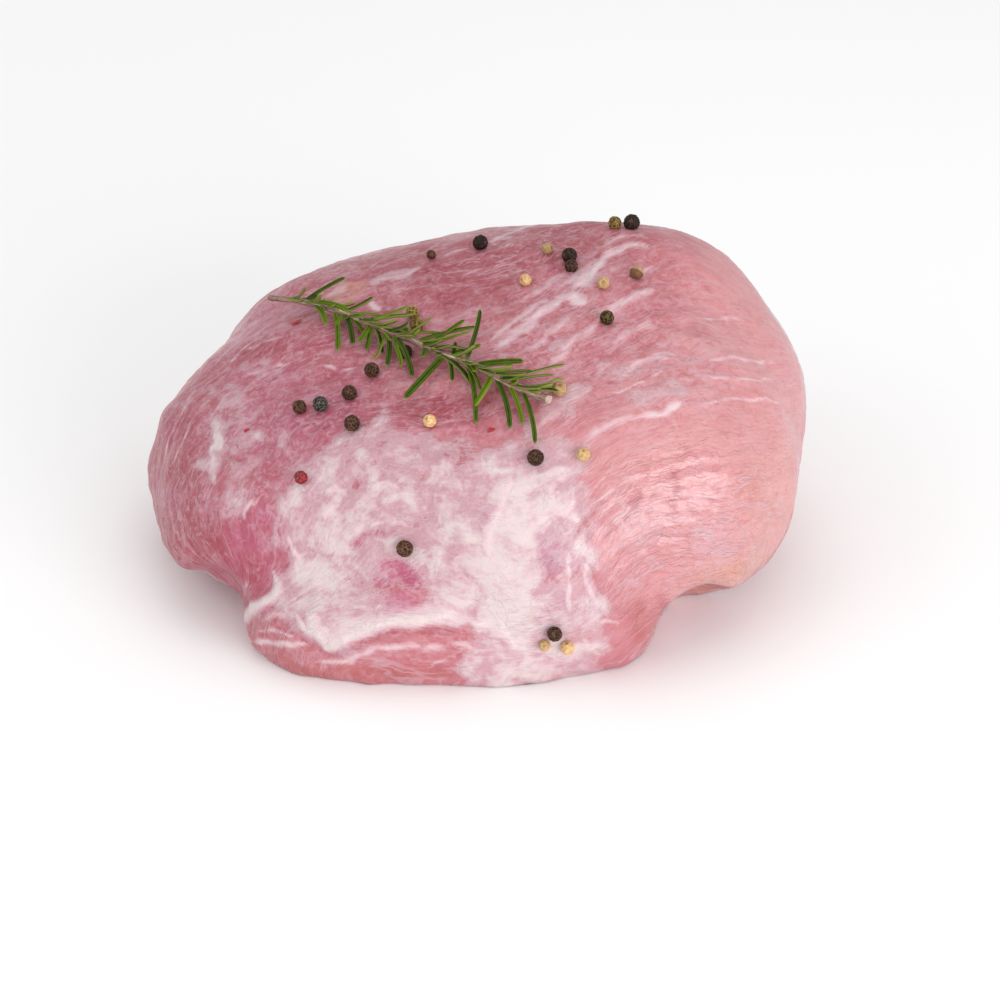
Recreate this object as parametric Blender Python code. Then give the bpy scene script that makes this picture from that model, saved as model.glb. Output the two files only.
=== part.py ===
"""Raw boneless leg of pork, with a sprig of rosemary and peppercorns lying on it."""

import math
import random

import bmesh
import bpy
import numpy as np
from mathutils import Vector

# Sizes are in millimetres, and are turned into metres where a mesh is made.
# X runs to the right along the joint of meat, Y to its back, Z up from the board.
MM = 0.001
SEED = 11

# The meat is a smooth blend of its muscles.
# Each row has a name, centre, half sizes, turns about Z, Y and X in degrees, and fullness,
# where 2 is an ellipsoid and a higher number is boxier.
MUSCLES = [
    ("silverside", (43.0, -1.0, 42.0), (64.0, 72.0, 47.0), (-10.0, 3.0, 0.0), 2.5),
    ("rump end", (50.0, 31.0, 50.0), (44.0, 50.0, 47.0), (-20.0, 0.0, 0.0), 2.1),
    ("topside", (-11.0, 34.0, 45.0), (78.0, 51.0, 44.0), (-6.0, -14.0, 0.0), 2.3),
    ("left end", (-54.0, -2.0, 33.5), (55.0, 57.0, 33.5), (16.0, -12.0, 0.0), 2.15),
    ("middle", (-8.0, -20.0, 34.0), (62.0, 54.0, 40.0), (0.0, -3.0, 0.0), 2.2),
    ("shank end", (21.0, -47.0, 23.0), (38.5, 35.5, 33.0), (0.0, 0.0, -2.0), 2.7),
    ("front flap", (-23.0, -57.0, 13.5), (49.0, 28.0, 18.5), (-4.0, 0.0, 12.0), 2.9),
]
MUSCLE_BLEND = 6.0
# The fold that tucks in under the right-hand lobe, beside the front flap.
FOLD_CENTRE = (70.0, -73.0, 0.0)
FOLD_HALF = (14.0, 38.0, 24.0)
FOLD_FULLNESS = 2.2
FOLD_BLEND = 3.0
# Every ray from this point leaves the meat once, nearer than the farthest reach.
CORE = (-2.0, -8.0, 34.0)
FARTHEST = 190.0
HALVINGS = 28
MEAT_SUBDIVISIONS = 5
# Points this close to the board are put on it.
BASE_SNAP = 0.3
# Soft unevenness of the cut surface.
LUMP_WAVES = 7
LUMP_LENGTH_MIN = 26.0
LUMP_LENGTH_MAX = 60.0
LUMP_HEIGHT = 0.32

# Kind, a point close to the surface, and diameter of each peppercorn on the meat.
PEPPERCORNS = [
    ("black", (2.0, 32.0, 95.0), 5.2),
    ("black", (30.5, 18.0, 99.0), 5.2),
    ("brown", (31.0, 12.0, 98.0), 4.6),
    ("black", (51.5, 38.0, 100.0), 5.6),
    ("olive", (41.5, -14.0, 92.0), 4.8),
    ("brown", (-32.5, -19.0, 76.0), 5.0),
    ("black", (-22.0, -14.5, 80.0), 4.8),
    ("brown", (-39.5, -27.5, 73.0), 5.0),
    ("black", (-48.5, -30.0, 70.0), 5.2),
    ("brown", (-55.5, -28.0, 68.5), 4.6),
    ("brown", (-38.0, -42.5, 70.0), 5.2),
    ("brown", (18.5, -64.5, 71.0), 5.3),
    ("olive", (-21.5, -75.0, 45.0), 5.4),
    ("brown", (24.5, -87.0, 21.0), 4.8),
    ("brown", (-14.5, 33.0, 91.5), 3.2),
    ("white", (23.5, 24.0, 98.5), 4.0),
    ("white", (16.0, 8.0, 96.0), 4.0),
    ("white", (41.0, 2.5, 96.5), 4.2),
    ("husk", (52.0, 9.0, 97.5), 4.6),
    ("husk", (46.0, 38.0, 100.0), 4.6),
    ("husk", (-20.5, 4.5, 86.0), 4.4),
    ("husk", (-19.0, -1.0, 84.5), 4.6),
    ("white", (-14.0, -47.0, 74.0), 4.2),
    ("white", (33.0, -65.0, 72.5), 4.4),
    ("white", (26.0, -45.5, 84.5), 4.8),
    ("white", (28.5, -86.0, 15.5), 4.4),
    ("white", (21.5, -87.5, 17.0), 3.6),
    ("red", (-54.0, -53.5, 57.5), 4.0),
]
# How far a peppercorn's middle stands off the meat, as a share of its radius.
PEPPERCORN_STAND = 0.72
PEPPERCORN_SEGMENTS = 8
PEPPERCORN_RINGS = 5

# Plan position of the sprig's stem, and its height over the meat, from its bare end.
STEM_ROUTE = [
    (-68.0, 32.0, 7.0),
    (-56.0, 22.0, 3.6),
    (-41.0, 7.0, 3.2),
    (-21.0, -12.5, 3.8),
    (-1.0, -33.0, 4.0),
    (11.0, -43.5, 4.0),
    (23.0, -51.0, 3.8),
]
STEM_RADIUS_START = 0.85
STEM_RADIUS_END = 1.2
STEM_SIDES = 8
STEM_STEPS_PER_SPAN = 4

# Each needle of the sprig: distance along the stem of its foot, plan heading in degrees
# from the X axis, plan reach, height of its tip over the meat, and width.
NEEDLES = [
    (9.5, -30.0, 4.0, 5.0, 2.0),
    (15.5, 14.0, 14.5, 5.0, 1.7),
    (21.0, -71.0, 13.5, 2.0, 2.0),
    (16.0, -43.0, 22.0, 4.0, 1.6),
    (37.0, -22.0, 13.0, 4.0, 1.7),
    (45.0, -9.0, 17.0, 5.0, 2.5),
    (31.0, -85.0, 18.0, 1.5, 2.1),
    (36.0, -78.0, 14.5, 2.0, 2.0),
    (36.0, -123.0, 5.5, 3.0, 1.5),
    (38.0, -59.0, 9.0, 2.0, 1.6),
    (48.0, -117.0, 8.0, 3.5, 2.0),
    (48.0, -98.0, 9.0, 1.5, 2.0),
    (50.0, -77.0, 11.0, 1.5, 1.8),
    (50.0, -35.0, 13.0, 5.0, 1.9),
    (55.0, -108.0, 14.5, 3.0, 1.4),
    (56.0, -91.0, 13.0, 1.5, 1.9),
    (57.0, -22.0, 19.0, 4.0, 1.9),
    (58.0, -79.0, 16.0, 3.0, 1.6),
    (59.0, -73.0, 20.5, 1.5, 2.0),
    (63.0, 21.0, 9.5, 7.0, 1.6),
    (68.0, -3.0, 20.0, 4.0, 2.0),
    (73.0, 19.0, 13.5, 7.0, 1.6),
    (73.0, 4.0, 14.5, 4.0, 1.9),
    (73.0, -95.0, 6.5, 5.0, 2.0),
    (74.0, -35.0, 15.5, 5.0, 1.9),
    (77.0, -55.0, 22.0, 1.5, 2.1),
    (82.0, -135.0, 18.0, 2.5, 2.4),
    (83.0, -80.0, 10.0, 2.0, 1.7),
    (85.0, 65.0, 3.5, 6.0, 1.5),
    (91.0, -68.0, 13.5, 4.0, 1.5),
    (91.5, 68.0, 12.5, 13.0, 1.8),
    (92.0, -82.0, 20.5, 1.5, 1.8),
    (94.0, -76.0, 5.5, 6.0, 2.0),
    (95.0, -8.0, 16.0, 4.0, 2.1),
    (96.5, -2.0, 11.5, 3.0, 1.7),
    (102.0, -3.0, 13.5, 3.0, 1.7),
    (103.0, -126.0, 10.0, 3.0, 2.4),
    (104.0, -74.0, 17.0, 2.0, 1.9),
    (108.0, 5.0, 19.0, 6.0, 1.9),
    (108.5, 5.0, 15.0, 3.0, 1.6),
    (109.0, -69.0, 13.0, 1.5, 1.7),
    (114.0, -76.0, 18.0, 2.5, 1.7),
    (114.0, 0.0, 13.0, 3.5, 1.6),
    (114.5, -19.0, 12.0, 5.0, 1.8),
]
NEEDLE_THICKNESS = 1.0
NEEDLE_SIDES = 6
NEEDLE_RINGS = 7
NEEDLE_BOW = 0.12
# Gap kept between the sprig and what lies under it.
SPRIG_GAP = 0.45
# A point is moved on to the skin, or off it, in at most this many steps.
SETTLING_STEPS = 12
# Step over which the slope of the skin is measured.
SLOPE_STEP = 0.4
HIGH_OVER_MEAT = 130.0
CLOSE_TO_SKIN = 0.01
# Least gap over the bumps of a peppercorn, which isn't a true ball.
PEPPERCORN_GAP = 0.5


def remove_start_objects():
    """Take out whatever the scene starts with."""
    for thing in list(bpy.data.objects):
        bpy.data.objects.remove(thing, do_unlink=True)


def make_collection(name):
    """A named collection in the scene."""
    group = bpy.data.collections.new(name)
    bpy.context.scene.collection.children.link(group)
    return group


def make_material(name, colour, roughness):
    """A plain material of one colour."""
    made = bpy.data.materials.new(name)
    made.use_nodes = True
    shader = made.node_tree.nodes["Principled BSDF"]
    shader.inputs["Base Color"].default_value = (*colour, 1.0)
    shader.inputs["Roughness"].default_value = roughness
    made.diffuse_color = (*colour, 1.0)
    return made


def turning(turn_z, turn_y, turn_x):
    """Matrix of the three turns, in degrees."""
    a, b, c = (math.radians(angle) for angle in (turn_z, turn_y, turn_x))
    about_z = np.array([[math.cos(a), -math.sin(a), 0], [math.sin(a), math.cos(a), 0], [0, 0, 1]])
    about_y = np.array([[math.cos(b), 0, math.sin(b)], [0, 1, 0], [-math.sin(b), 0, math.cos(b)]])
    about_x = np.array([[1, 0, 0], [0, math.cos(c), -math.sin(c)], [0, math.sin(c), math.cos(c)]])
    return about_z @ about_y @ about_x


def off_ellipsoid(points, centre, half, turns, fullness):
    """Rough distance of each point from a rounded box or ellipsoid, less than 0 inside."""
    local = (points - np.array(centre)) @ turning(*turns)
    share = np.abs(local / np.array(half))
    size = np.maximum((share**fullness).sum(axis=1) ** (1.0 / fullness), 1e-9)
    slope = np.linalg.norm((share / size[:, None]) ** (fullness - 1.0) / np.array(half), axis=1)
    return (size - 1.0) / np.maximum(slope, 1e-9)


def lump_waves():
    """Directions, lengths and starts of the waves that make the surface uneven."""
    draw = random.Random(SEED)
    waves = []
    for _ in range(LUMP_WAVES):
        across = Vector((draw.uniform(-1, 1), draw.uniform(-1, 1), draw.uniform(-1, 1))).normalized()
        length = draw.uniform(LUMP_LENGTH_MIN, LUMP_LENGTH_MAX)
        waves.append((np.array(across) * 2.0 * math.pi / length, draw.uniform(0, 2.0 * math.pi)))
    return waves


WAVES = lump_waves()


def skin(points):
    """Distance of each point from the surface of the meat, less than 0 inside."""
    total = np.zeros(len(points))
    for _, centre, half, turns, fullness in MUSCLES:
        gap = off_ellipsoid(points, centre, half, turns, fullness)
        total += np.exp(-np.clip(gap, -300.0, 300.0) / MUSCLE_BLEND)
    joined = -MUSCLE_BLEND * np.log(total)
    fold = -off_ellipsoid(points, FOLD_CENTRE, FOLD_HALF, (0.0, 0.0, 0.0), FOLD_FULLNESS)
    larger = np.maximum(joined, fold)
    smaller = np.minimum(joined, fold)
    cut = larger + FOLD_BLEND * np.log1p(np.exp(np.maximum(smaller - larger, -200.0) / FOLD_BLEND))
    lumps = sum(np.sin(points @ wave + start) for wave, start in WAVES)
    return cut - LUMP_HEIGHT * lumps


def skin_normal(point, solid=None):
    """Outward direction of the surface near a point."""
    measure = solid or skin
    offsets = np.concatenate([np.eye(3) * SLOPE_STEP, -np.eye(3) * SLOPE_STEP])
    values = measure(np.array(point) + offsets)
    slope = values[:3] - values[3:]
    return slope / np.linalg.norm(slope)


def onto_skin(point):
    """The point on the meat that is nearest to a given point."""
    place = np.array(point, dtype=float)
    for _ in range(SETTLING_STEPS):
        place = place - skin_normal(place) * skin(place[None])[0]
    return place


def top_of_meat(x, y):
    """Height of the meat's upper surface at a plan position."""
    height = HIGH_OVER_MEAT
    gap = skin(np.array([[x, y, height]]))[0]
    while gap > CLOSE_TO_SKIN:
        height -= 0.8 * gap
        gap = skin(np.array([[x, y, height]]))[0]
    return height


def mesh_object(name, work, group):
    """Turn a bmesh in millimetres into an object in metres."""
    bmesh.ops.scale(work, vec=(MM, MM, MM), verts=work.verts)
    bmesh.ops.recalc_face_normals(work, faces=work.faces)
    bmesh.ops.triangulate(work, faces=work.faces)
    mesh = bpy.data.meshes.new(name)
    work.to_mesh(mesh)
    work.free()
    made = bpy.data.objects.new(name, mesh)
    group.objects.link(made)
    return made


def build_meat(group):
    """The joint of meat: each point of a ball pushed out to the blended muscles."""
    work = bmesh.new()
    bmesh.ops.create_icosphere(work, subdivisions=MEAT_SUBDIVISIONS, radius=1.0)
    ways = np.array([v.co.normalized() for v in work.verts])
    core = np.array(CORE)
    near = np.zeros(len(ways))
    far = np.full(len(ways), FARTHEST)
    for _ in range(HALVINGS):
        middle = (near + far) / 2.0
        inside = skin(core + ways * middle[:, None]) < 0.0
        near = np.where(inside, middle, near)
        far = np.where(inside, far, middle)
    for vertex, place in zip(work.verts, core + ways * near[:, None]):
        vertex.co = Vector(place)
        if abs(vertex.co.z) < BASE_SNAP:
            vertex.co.z = 0.0
    # The meat has settled flat where it rests on the board.
    bmesh.ops.bisect_plane(
        work,
        geom=work.verts[:] + work.edges[:] + work.faces[:],
        dist=0.01,
        plane_co=(0.0, 0.0, 0.0),
        plane_no=(0.0, 0.0, -1.0),
        clear_outer=True,
    )
    rim = [edge for edge in work.edges if edge.is_boundary]
    bmesh.ops.holes_fill(work, edges=rim, sides=0)
    return mesh_object("pork_leg", work, group)


def peppercorn_middles():
    """Centre and radius of every peppercorn, resting on the meat."""
    found = []
    for _, near, diameter in PEPPERCORNS:
        foot = onto_skin(near)
        radius = diameter / 2.0
        found.append((foot + skin_normal(foot) * radius * PEPPERCORN_STAND, radius))
    return found


def build_peppercorns(middles, group):
    """One low ball for each peppercorn, each turned its own way."""
    draw = random.Random(SEED + 1)
    for number, (middle, radius) in enumerate(middles):
        work = bmesh.new()
        bmesh.ops.create_uvsphere(
            work, u_segments=PEPPERCORN_SEGMENTS, v_segments=PEPPERCORN_RINGS, radius=radius
        )
        turn = Vector((draw.uniform(-1, 1), draw.uniform(-1, 1), draw.uniform(-1, 1))).normalized()
        spin = turn.rotation_difference(Vector((0, 0, 1))).to_matrix()
        bmesh.ops.rotate(work, matrix=spin, verts=work.verts)
        bmesh.ops.translate(work, vec=Vector(middle), verts=work.verts)
        mesh_object(f"peppercorn {number + 1}", work, group)


def clear_of(middles):
    """A distance rule for the sprig: the meat, and the peppercorns a little larger."""
    centres = np.array([middle for middle, _ in middles])
    radii = np.array([radius for _, radius in middles])

    def measure(points):
        apart = np.linalg.norm(points[:, None, :] - centres[None], axis=2) - radii[None]
        return np.minimum(skin(points), apart.min(axis=1) - PEPPERCORN_GAP)

    return measure


def lifted(point, solid, room):
    """Move a point out until there is room between it and what lies below."""
    place = np.array(point, dtype=float)
    for _ in range(SETTLING_STEPS):
        short = room - solid(place[None])[0]
        if short <= 0.0:
            break
        place = place + skin_normal(place, solid) * short
    return place


def stem_path(solid):
    """Points along the middle of the stem."""
    nodes = []
    for x, y, height in STEM_ROUTE:
        nodes.append(np.array([x, y, top_of_meat(x, y) + height]))
    nodes = [2 * nodes[0] - nodes[1]] + nodes + [2 * nodes[-1] - nodes[-2]]
    path = []
    for i in range(1, len(nodes) - 2):
        before, start, end, after = nodes[i - 1 : i + 3]
        last_span = i == len(nodes) - 3
        for k in range(STEM_STEPS_PER_SPAN + (1 if last_span else 0)):
            t = k / STEM_STEPS_PER_SPAN
            path.append(
                0.5
                * (
                    2 * start
                    + (end - before) * t
                    + (2 * before - 5 * start + 4 * end - after) * t**2
                    + (3 * start - before - 3 * end + after) * t**3
                )
            )
    return [lifted(p, solid, STEM_RADIUS_END + SPRIG_GAP) for p in path]


def along(path, distance):
    """The point at a distance along the path, and the way it runs there."""
    left = distance
    for start, end in zip(path, path[1:]):
        step = np.linalg.norm(end - start)
        if left <= step:
            return start + (end - start) * left / step, (end - start) / step
        left -= step
    return path[-1], (path[-1] - path[-2]) / np.linalg.norm(path[-1] - path[-2])


def build_stem(path, group):
    """A tapering round stem with flat ends."""
    work = bmesh.new()
    rings = []
    side = Vector((0.0, 0.0, 1.0))
    for i, point in enumerate(path):
        ahead = Vector(path[min(i + 1, len(path) - 1)] - path[max(i - 1, 0)]).normalized()
        side = (side - ahead * side.dot(ahead)).normalized()
        other = ahead.cross(side)
        share = i / (len(path) - 1)
        radius = STEM_RADIUS_START + (STEM_RADIUS_END - STEM_RADIUS_START) * share
        ring = []
        for k in range(STEM_SIDES):
            angle = 2.0 * math.pi * k / STEM_SIDES
            off = side * math.cos(angle) + other * math.sin(angle)
            ring.append(work.verts.new(Vector(point) + off * radius))
        rings.append(ring)
    for first, second in zip(rings, rings[1:]):
        for k in range(STEM_SIDES):
            after = (k + 1) % STEM_SIDES
            work.faces.new((first[k], first[after], second[after], second[k]))
    work.faces.new(rings[0][::-1])
    work.faces.new(rings[-1])
    return mesh_object("rosemary_sprig", work, group)


def needle_axis(foot, ahead, heading, reach, height, solid, draw):
    """Middle line of a needle, from its foot in the stem to its tip over the meat."""
    angle = math.radians(heading)
    tip_x = foot[0] + reach * math.cos(angle)
    tip_y = foot[1] + reach * math.sin(angle)
    tip = np.array([tip_x, tip_y, top_of_meat(tip_x, tip_y) + height])
    length = np.linalg.norm(tip - foot)
    bow = NEEDLE_BOW * length * draw.uniform(0.7, 1.3)
    knee = (foot + tip) / 2.0 + ahead * bow + np.array([0.0, 0.0, bow])
    room = NEEDLE_THICKNESS / 2.0 + SPRIG_GAP
    line = []
    for k in range(NEEDLE_RINGS + 1):
        t = k / NEEDLE_RINGS
        point = (1 - t) ** 2 * foot + 2 * t * (1 - t) * knee + t**2 * tip
        line.append(lifted(point, solid, room))
    return line


def build_needle(name, axis, width, solid, group):
    """A narrow leaf: a ball drawn out along its bent middle line."""
    work = bmesh.new()
    bmesh.ops.create_uvsphere(work, u_segments=NEEDLE_SIDES, v_segments=NEEDLE_RINGS, radius=1.0)
    for vertex in work.verts:
        share = math.acos(max(-1.0, min(1.0, -vertex.co.z))) / math.pi
        place = share * (len(axis) - 1)
        low = min(int(place), len(axis) - 2)
        point = axis[low] + (axis[low + 1] - axis[low]) * (place - low)
        ahead = Vector(axis[low + 1] - axis[low]).normalized()
        up = Vector(skin_normal(point, solid))
        up = (up - ahead * up.dot(ahead)).normalized()
        across = ahead.cross(up)
        # Narrow at the foot, widest past the middle, with a blunt tip.
        body = (0.55 + 0.45 * min(1.0, share / 0.35)) * (1.0 - 0.35 * max(0.0, share - 0.6) / 0.4)
        around = math.atan2(vertex.co.y, vertex.co.x)
        rim = math.hypot(vertex.co.x, vertex.co.y)
        rim = 0.0 if rim < 1e-4 else 1.0
        sideways = across * math.cos(around) * width / 2.0 * body * rim
        upward = up * math.sin(around) * NEEDLE_THICKNESS / 2.0 * body * rim
        vertex.co = Vector(point) + sideways + upward
    return mesh_object(name, work, group)


def fuse(target, group):
    """Join every object of a collection into the target, then take them out."""
    join = target.modifiers.new("Fused on", "BOOLEAN")
    join.operation = "UNION"
    join.operand_type = "COLLECTION"
    join.collection = group
    join.solver = "EXACT"
    bpy.context.view_layer.update()
    graph = bpy.context.evaluated_depsgraph_get()
    joined = bpy.data.meshes.new_from_object(target.evaluated_get(graph))
    joined.name = target.name
    target.modifiers.clear()
    target.data = joined
    for thing in list(group.objects):
        bpy.data.objects.remove(thing, do_unlink=True)
    bpy.data.collections.remove(group)


def finish(target, material):
    """Give the object a single material and smooth shading."""
    target.data.materials.clear()
    target.data.materials.append(material)
    for face in target.data.polygons:
        face.material_index = 0
    target.data.shade_smooth()


def main():
    remove_start_objects()
    parts = make_collection("Pork leg with rosemary")

    meat = build_meat(parts)
    loose = make_collection("Peppercorns on the meat")
    middles = peppercorn_middles()
    build_peppercorns(middles, loose)
    fuse(meat, loose)
    finish(meat, make_material("Raw pork", (0.72, 0.33, 0.36), 0.35))

    solid = clear_of(middles)
    path = stem_path(solid)
    sprig = build_stem(path, parts)
    needles = make_collection("Needles of the sprig")
    draw = random.Random(SEED + 2)
    for number, (distance, heading, reach, height, width) in enumerate(NEEDLES):
        foot, ahead = along(path, distance)
        axis = needle_axis(foot, ahead, heading, reach, height, solid, draw)
        build_needle(f"needle {number + 1}", axis, width, solid, needles)
    fuse(sprig, needles)
    finish(sprig, make_material("Rosemary", (0.10, 0.22, 0.04), 0.5))


main()
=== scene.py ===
"""Raw boneless leg of pork with rosemary and peppercorns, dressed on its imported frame."""

import math
import random

import bmesh
import bpy
import numpy as np
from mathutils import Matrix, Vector


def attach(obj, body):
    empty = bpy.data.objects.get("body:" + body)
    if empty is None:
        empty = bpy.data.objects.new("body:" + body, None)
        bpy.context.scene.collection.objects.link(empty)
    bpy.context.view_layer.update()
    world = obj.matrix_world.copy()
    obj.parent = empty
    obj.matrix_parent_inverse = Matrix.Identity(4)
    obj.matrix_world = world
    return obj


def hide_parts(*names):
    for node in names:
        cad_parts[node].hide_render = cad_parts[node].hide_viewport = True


bl_info = {
    "name": "Raw Pork Leg",
    "version": (1, 0, 0),
    "blender": (4, 5, 0),
    "location": "View3D > Sidebar > Pork Leg",
    "description": "Dresses a raw leg of pork with a rosemary sprig and peppercorns",
    "category": "Object",
}

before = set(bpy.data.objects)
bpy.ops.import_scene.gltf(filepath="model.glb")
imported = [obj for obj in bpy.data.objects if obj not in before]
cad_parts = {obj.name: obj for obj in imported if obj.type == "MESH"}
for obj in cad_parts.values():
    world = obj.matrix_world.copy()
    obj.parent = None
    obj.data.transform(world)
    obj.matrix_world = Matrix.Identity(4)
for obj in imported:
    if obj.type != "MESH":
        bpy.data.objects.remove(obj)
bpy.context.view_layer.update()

# Sizes are in millimetres and are turned into metres where a mesh is made.
# X runs to the right along the joint of meat, Y to its back, Z up from the board.
MM = 0.001
SEED = 11


def from_screen(red, green, blue):
    """A colour as a screen shows it, 0 to 255, as the linear colour that a shader takes."""
    shares = (channel / 255.0 for channel in (red, green, blue))
    return tuple(s / 12.92 if s <= 0.04045 else ((s + 0.055) / 1.055) ** 2.4 for s in shares)


# The meat is a smooth blend of its muscles.
# Each row has a name, centre, half sizes, turns about Z, Y and X in degrees, and fullness,
# where 2 is an ellipsoid and a higher number is boxier.
MUSCLES = [
    ("silverside", (43.0, -1.0, 42.0), (64.0, 72.0, 47.0), (-10.0, 3.0, 0.0), 2.5),
    ("rump end", (50.0, 31.0, 50.0), (44.0, 50.0, 47.0), (-20.0, 0.0, 0.0), 2.1),
    ("topside", (-11.0, 34.0, 45.0), (78.0, 51.0, 44.0), (-6.0, -14.0, 0.0), 2.3),
    ("left end", (-54.0, -2.0, 33.5), (55.0, 57.0, 33.5), (16.0, -12.0, 0.0), 2.15),
    ("middle", (-8.0, -20.0, 34.0), (62.0, 54.0, 40.0), (0.0, -3.0, 0.0), 2.2),
    ("shank end", (21.0, -47.0, 23.0), (38.5, 35.5, 33.0), (0.0, 0.0, -2.0), 2.7),
    ("front flap", (-23.0, -57.0, 13.5), (49.0, 28.0, 18.5), (-4.0, 0.0, 12.0), 2.9),
]
MUSCLE_BLEND = 6.0
# The fold that tucks in under the right-hand lobe, beside the front flap.
FOLD_CENTRE = (70.0, -73.0, 0.0)
FOLD_HALF = (14.0, 38.0, 24.0)
FOLD_FULLNESS = 2.2
FOLD_BLEND = 3.0
# Every ray from this point leaves the meat once, nearer than the farthest reach.
CORE = (-2.0, -8.0, 34.0)
FARTHEST = 190.0
HALVINGS = 8
SECANTS = 4
NEAREST = 15.0
# Soft unevenness of the cut surface.
LUMP_WAVES = 7
LUMP_LENGTH_MIN = 26.0
LUMP_LENGTH_MAX = 60.0
LUMP_HEIGHT = 0.32

# The picture is 1000 pixels square, and its camera looks down at the meat.
PICTURE = 1000
CAMERA_TILT = 30.0
CAMERA_AWAY = 1000.0
CAMERA_AIM = (0.0, 0.0, 40.0)
# Where the aim falls in the picture, and how many pixels the lens is long.
AIM_PIXEL = (475.0, 440.0)
LENS_PIXELS = 3050.0
SENSOR = 36.0

# Which way the fibres run: name, place in the picture, and slope in degrees.
FIBRES = [
    ("right crest", (650, 240), 18),
    ("right crest far", (700, 252), -22),
    ("right shoulder", (745, 290), -35),
    ("right rim", (778, 340), -30),
    ("right upper", (720, 320), -2),
    ("right middle", (700, 370), 6),
    ("right middle rim", (775, 400), -3),
    ("right low", (720, 440), 2),
    ("right low rim", (780, 470), 0),
    ("right wrinkles", (690, 500), 3),
    ("right bottom", (740, 555), 5),
    ("right fold", (670, 580), 12),
    ("wrinkle turn", (620, 590), 50),
    ("wrinkle turn low", (640, 630), 40),
    ("wrinkle left", (610, 520), 30),
    ("wrinkle left up", (625, 460), 22),
    ("middle streak", (605, 432), 27),
    ("inner streak", (640, 400), 18),
    ("crown streak", (600, 280), 40),
    ("crown upper", (620, 330), 38),
    ("crown left", (545, 330), 37),
    ("crown back", (560, 240), 28),
    ("crown far", (520, 262), 24),
    ("top face", (480, 280), 15),
    ("top face left", (440, 300), 12),
    ("back left", (400, 262), 26),
    ("back left edge", (340, 290), 32),
    ("under sprig", (450, 345), 10),
    ("below sprig", (470, 410), 3),
    ("upper middle", (400, 400), 4),
    ("left upper", (330, 360), 14),
    ("left upper edge", (270, 325), 42),
    ("left shoulder", (225, 355), 52),
    ("left shoulder low", (245, 400), 46),
    ("left side", (190, 410), 68),
    ("left side low", (172, 460), 86),
    ("left turn", (168, 500), 110),
    ("left foot", (190, 545), 134),
    ("left foot low", (222, 590), 142),
    ("left inner", (225, 470), 60),
    ("left inner low", (235, 520), 66),
    ("left hollow", (300, 430), 28),
    ("middle left", (310, 480), 38),
    ("middle", (400, 470), 8),
    ("middle right", (490, 450), 8),
    ("seam left", (290, 560), 60),
    ("front middle", (430, 560), -10),
    ("front right", (500, 560), -40),
    ("front ridge", (565, 580), 82),
    ("upper ridge", (550, 500), 35),
    ("lip", (350, 655), -5),
    ("lip middle", (430, 650), 4),
    ("lip right", (520, 660), 8),
    ("lip far right", (600, 650), 22),
]
# On the hidden sides: name, way out from the core, and the way the fibres run there.
HIDDEN_FIBRES = [
    ("right end", (1.0, 0.0, 0.1), (0.1, 0.6, -0.9)),
    ("right back", (0.8, 0.7, 0.1), (-0.4, 0.6, -0.8)),
    ("back", (0.1, 1.0, 0.35), (1.0, 0.0, 0.0)),
    ("back low", (0.0, 1.0, -0.15), (1.0, 0.0, 0.0)),
    ("back left", (-0.7, 0.8, 0.1), (0.5, 0.5, 0.8)),
    ("left end", (-1.0, 0.2, 0.0), (0.0, 0.4, 0.9)),
    ("back right", (0.6, 0.9, 0.4), (0.9, -0.1, -0.5)),
]
FIBRE_REACH = 30.0
FIBRE_EASE = 0.02

# Broad tones of the flesh: name, colour, middle in the picture, half sizes, slope, strength.
BROAD_TONES = [
    ("left half", "mauve", (250, 450), (190, 220), 0, 1.0),
    ("right lobe", "salmon", (730, 430), (190, 230), 0, 1.0),
    ("crown", "rose", (560, 300), (150, 110), 20, 0.85),
    ("back of the top", "deep", (470, 240), (230, 60), 8, 0.9),
    ("far left", "deep", (160, 480), (50, 120), 0, 0.6),
]
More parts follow.
